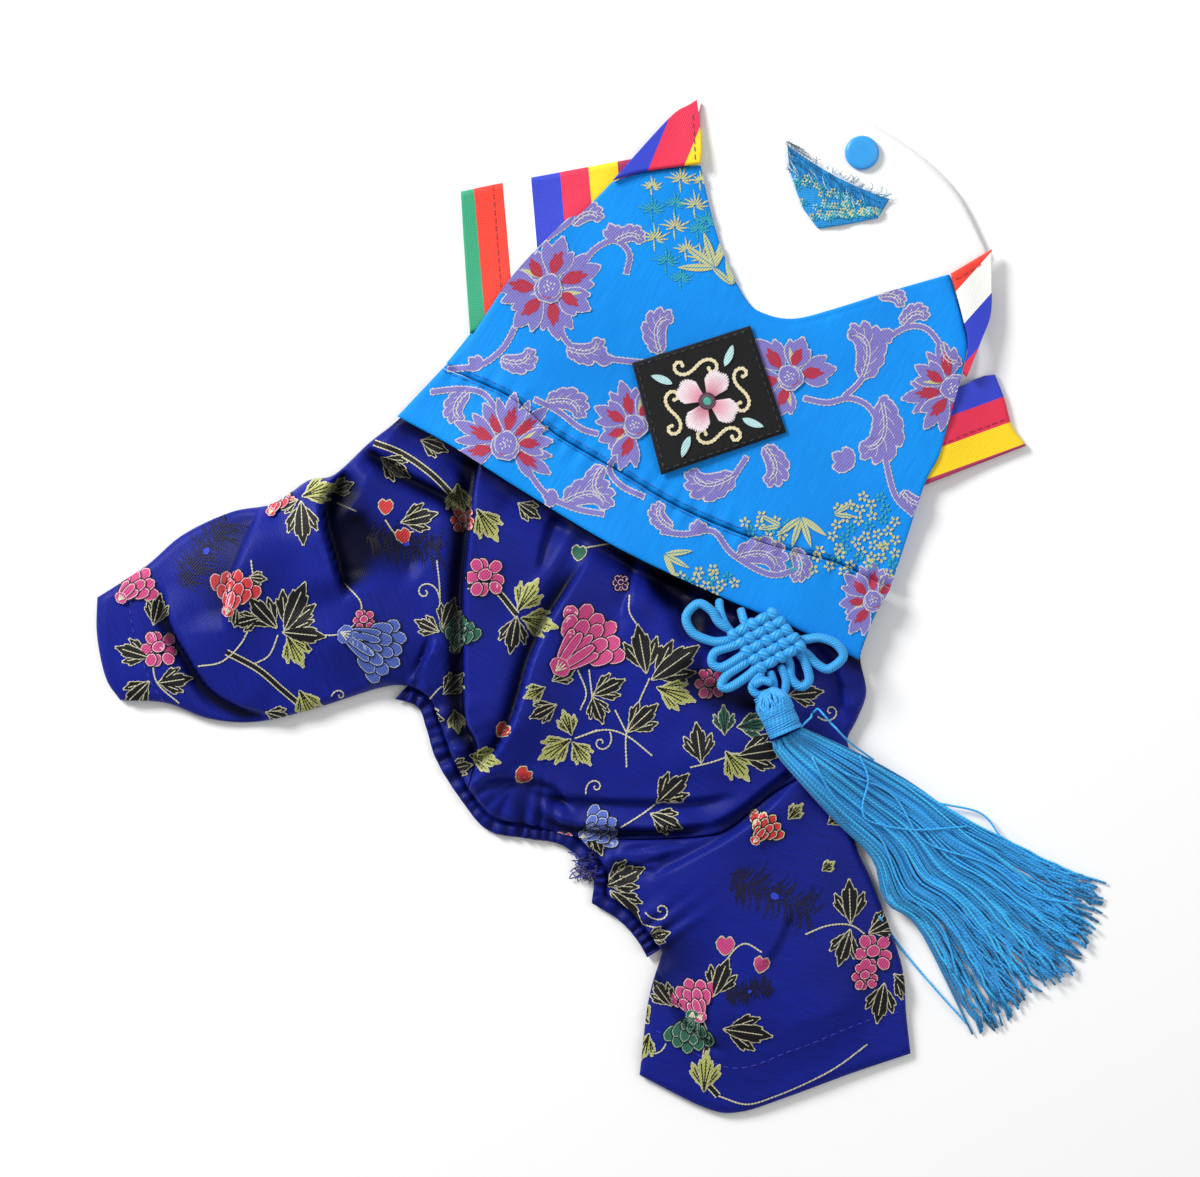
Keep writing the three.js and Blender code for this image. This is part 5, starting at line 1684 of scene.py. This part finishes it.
def make_head():
    """Tassel head: the threads are folded over a cord, then whipped round with the same thread."""
    start, end = np.array(HEAD_START), np.array(HEAD_END)
    radius = 5.6
    centre_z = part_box("tassel_head")[1].z / MM - radius
    length = float(np.linalg.norm(end - start))
    way = (end - start) / length
    across = np.array([-way[1], way[0]])

    def point(run, angle, r):
        x, y = start + way * run + across * r * math.cos(angle)
        return (x, y, centre_z + 0.92 * r * math.sin(angle))

    head = Strands()
    folded = 46
    for k in range(folded):
        angle = 2 * math.pi * k / folded + 0.05 * rng.standard_normal()
        runs = np.linspace(-0.4, length * 0.55, 12)
        dome = np.clip(np.sqrt(np.clip((runs + 0.9) / 5.0, 0, 1)), 0.1, 1)
        wide = radius * dome * (1 + 0.03 * rng.standard_normal())
        path = [point(run, angle + 0.1 * math.sin(run + k), r) for run, r in zip(runs, wide)]
        head.add(path, 0.46, 6, shade=0.9 + 0.2 * rng.random())
    turns = 16
    around = np.linspace(0, 2 * math.pi, 37)[:-1]
    for k in range(turns):
        run = length * 0.36 + (length * 0.64 - 0.4) * k / (turns - 1)
        r = radius * 1.02 + 0.05 * rng.standard_normal()
        path = [point(run + 0.25 * math.sin(a + k), a, r) for a in around]
        head.add(path, 0.42, 6, closed=True, shade=0.92 + 0.12 * rng.random())
    for k in range(7):  # loops that have slipped out at one side
        base = np.array(point(1.0 + 0.8 * k, math.pi * 0.92, radius))
        out = np.array([*across * (1.2 + 0.6 * math.sin(2.2 + 0.5 * k)), 0.0])
        path = [base, base + out + [0, 0, 0.6], base + out * 0.8 + [*way * 1.4, 0],
                point(3.0 + 0.8 * k, math.pi * 0.95, radius)]
        head.add(path, 0.33, 5)
    head.build("tassel_head_whipping", tassel_thread, "azure_cord", "tassel_head")


def make_skirt():
    """Loose tassel threads that leave the head side by side, fan out and lie down on the table."""
    upper = softened(*cad_side("tassel_skirt"), reach_mm=2.0)
    lower = softened(*cad_side("tassel_skirt", upper=False), reach_mm=2.0)
    gx, gy = plan_grid(PLANS["tassel_skirt"], 1.5, 0.5)
    rows, columns = gx.shape

    def at(u, v):
        """The place at shares u of the way from head to ends and v of the way across."""
        fu, fv = np.clip(u, 0, 1) * (columns - 1), np.clip(v, 0, 1) * (rows - 1)
        iu, iv = np.minimum(fu.astype(int), columns - 2), np.minimum(fv.astype(int), rows - 2)
        tu, tv = fu - iu, fv - iv
        return [(g[iv, iu] * (1 - tu) + g[iv, iu + 1] * tu) * (1 - tv)
                + (g[iv + 1, iu] * (1 - tu) + g[iv + 1, iu + 1] * tu) * tv for g in (gx, gy)]

    skirt = Strands()
    locks = 19
    threads = 250
    sway = rng.standard_normal(locks)
    for k in range(threads):
        depth = k / threads
        lock = rng.integers(locks)
        v0 = 0.04 + 0.92 * (lock + 0.5) / locks + 0.016 * rng.standard_normal()
        v1 = v0 + 0.03 * sway[lock] + 0.045 * rng.standard_normal()
        end = 0.9 + 0.1 * rng.random() if rng.random() < 0.8 else 0.78 + 0.2 * rng.random()
        u = np.linspace(0, end, 34)
        wave = 0.01 * np.sin(u * 8 + 6 * sway[lock])
        wander = (wave + 0.02 * np.sin(u * (7 + 6 * rng.random()) + 6 * rng.random())) * u
        crimp = 0.008 * np.sin(u * 70 + 6 * rng.random()) * smooth_step((u - 0.55) / 0.3)
        v = np.clip(v0 + (v1 - v0) * smooth_step(u * 1.1) + wander + crimp, 0.0, 1.0)
        x, y = at(u, v)
        low, high = sample(lower, x, y) + 0.5, sample(upper, x, y)
        z = np.maximum(low + (high - low) * depth + 0.5 * rng.standard_normal() * np.sin(math.pi * u), 0.5)
        # Painted shade: threads that lie lower, under the others, are darker; each thread also varies at
        # random in tone
        shade = (0.56 + 0.52 * depth) * (0.55 + 0.9 * rng.random())
        skirt.add(np.column_stack([x, y, z]), 0.4 + 0.07 * rng.random(), 5, shade=shade)
    # Stray threads: places, each with its height above the skirt or, past its edge, above the table
    strays = (
        [(68, -42, 2.0), (74.5, -35.5, 14), (84, -46, 9.5), (94, -53.5, 1.5)],
        [(96, -108, 0.8), (106, -122, 0.6), (117, -135, 0.5), (127, -146, 0.5)],
        [(89, -52, 1.0), (92, -60, 0.8), (90, -70, 0.8), (93, -75, 0.8), (108, -78, 0.8), (127, -77, 0.8)],
        [(118, -69, 0.7), (132, -72.5, 0.5), (139, -81, 0.7)],
        [(72, -52, 0.8), (80, -66, 0.8), (96, -80, 0.9), (104, -98, 0.8), (118, -112, 0.8), (124, -130, 0.7)],
        [(84, -58, 0.8), (101, -66, 0.9), (112, -82, 0.8), (134, -90, 0.8), (150, -101, 0.7),
         (166, -104, 0.6)],
    )
    for points in strays:
        line = np.array(points, float)
        x, y = curve(line[:, :2], 40).T
        above = np.interp(np.linspace(0, 1, 41), np.linspace(0, 1, len(line)), line[:, 2])
        skirt.add(np.column_stack([x, y, np.maximum(sample(upper, x, y), 0) + above]), 0.4, 5, shade=1.15)
    skirt.build("tassel_skirt_threads", tassel_thread, "azure_cord", "tassel_skirt")


def make_fraying(facing):
    """Loose ends: raw edges inside the neck, and a tuft where the elastic is sewn off."""
    fray = Strands()
    edge = even([(65, 151), (64, 160.6), (73, 155), (84.5, 148.4), (97, 142.6)], 60)
    for k in range(64):
        t = rng.random() ** 1.6 if k % 2 else 1 - 0.5 * rng.random() ** 2
        root = edge[int(t * 60)]
        way = (0.5 + 1.6 * rng.random()) * (1 - t**4) - 0.4 * t**4 * rng.random()
        path = blade_path(root, way, 0.8 + 2.4 * rng.random() + 2 * t**6, 1.5 * rng.standard_normal(), 8)
        z = facing.height(path[:, 0], path[:, 1]).max() + 0.1
        colour = ("#1f6f9e", "#234e6c", "#8cbccc", "#2a86b4")[k % 4]
        fray.add(np.column_stack([path, np.full(8, z)]), 0.09, 4, colour=colour)
    for k in range(9):
        level = facing.height(66.0, 156.0) + 0.15 + 0.1 * (k % 3)
        hand = (-1) ** k
        root = (63.4 + 0.2 * k, 161.4 + 0.42 * k - 0.06 * k * k)
        along = blade_path(root, -0.56 + 0.02 * k, 11 - k, 0.05 * hand, 9)
        across = blade_path((65 + 1.1 * k, 158.6 - 0.6 * k), 1.25 - 0.05 * k, 3.6 - 0.3 * k, 0.2 * hand, 6)
        for path in (along, across):
            fray.add(np.column_stack([path, np.full(len(path), level)]), 0.09, 4, colour="#2d5b78")
    fray.build("neck_frayed_threads", tassel_thread, "azure_brocade")
    tuft = Strands()
    for k in range(90):
        root = (-8 + 6 * rng.random(), -86 - 9 * rng.random())
        way = 2.4 + 2.0 * rng.random()
        path = blade_path(root, way, 2 + 3.4 * rng.random(), 2.4 * rng.standard_normal(), 9)
        z = 0.6 + 4.2 * rng.random() * np.linspace(1, 0.3, 9)
        tuft.add(np.column_stack([path, z]), 0.2, 4, colour="#15116c" if k % 4 else "#2f39a0")
    tuft.build("elastic_loose_threads", tassel_thread, "blue_brocade")


# ---------------------------------------------------------------- stage


def make_stage():
    """A large sheet of matt white card, evenly lit, that hardly shines."""
    paper, _, shader = new_material("matt_white_paper", 0.9)
    shader.inputs["Base Color"].default_value = (0.93, 0.93, 0.93, 1)
    shader.inputs["Specular IOR Level"].default_value = 0.1
    side = 3000
    corners = [(-side, -side, 0), (side, -side, 0), (side, side, 0), (-side, side, 0)]
    mesh_object("floor", corners, [[0, 1, 2, 3]], paper)


def make_light(name, place_at, target, size, watts):
    data = bpy.data.lights.new(name, "AREA")
    data.shape = "DISK"
    data.size = size
    data.energy = watts
    lamp = bpy.data.objects.new(name, data)
    lamp.location = place_at
    lamp.rotation_euler = (Vector(target) - Vector(place_at)).to_track_quat("-Z", "Y").to_euler()
    bpy.context.scene.collection.objects.link(lamp)


def make_camera():
    """Straight down on the laid garment, with a frame 420 mm wide."""
    distance = 1.5
    frame_width = 0.420
    data = bpy.data.cameras.new("camera")
    data.sensor_width = 36
    data.lens = 36 * distance / frame_width
    camera = bpy.data.objects.new("camera", data)
    camera.location = (-0.0012, 0.0061, distance)
    bpy.context.scene.collection.objects.link(camera)
    bpy.context.scene.camera = camera


def make_lights():
    world = bpy.data.worlds.new("studio")
    world.use_nodes = True
    world.node_tree.nodes["Background"].inputs["Color"].default_value = (1, 1, 1, 1)
    world.node_tree.nodes["Background"].inputs["Strength"].default_value = 0.42
    bpy.context.scene.world = world
    bpy.context.scene.view_settings.view_transform = "Standard"
    make_light("key", (-0.95, 0.85, 0.85), (0, 0, 0), 0.55, 26)
    make_light("fill", (0.9, 0.2, 1.1), (0, 0, 0), 1.2, 5)


make_camera()
jacket_facing = make_jacket()
make_sleeves()
make_trousers()
make_elastic()
make_patch()
make_snap()
make_knot()
make_head()
make_skirt()
make_fraying(jacket_facing)
make_stage()
make_lights()
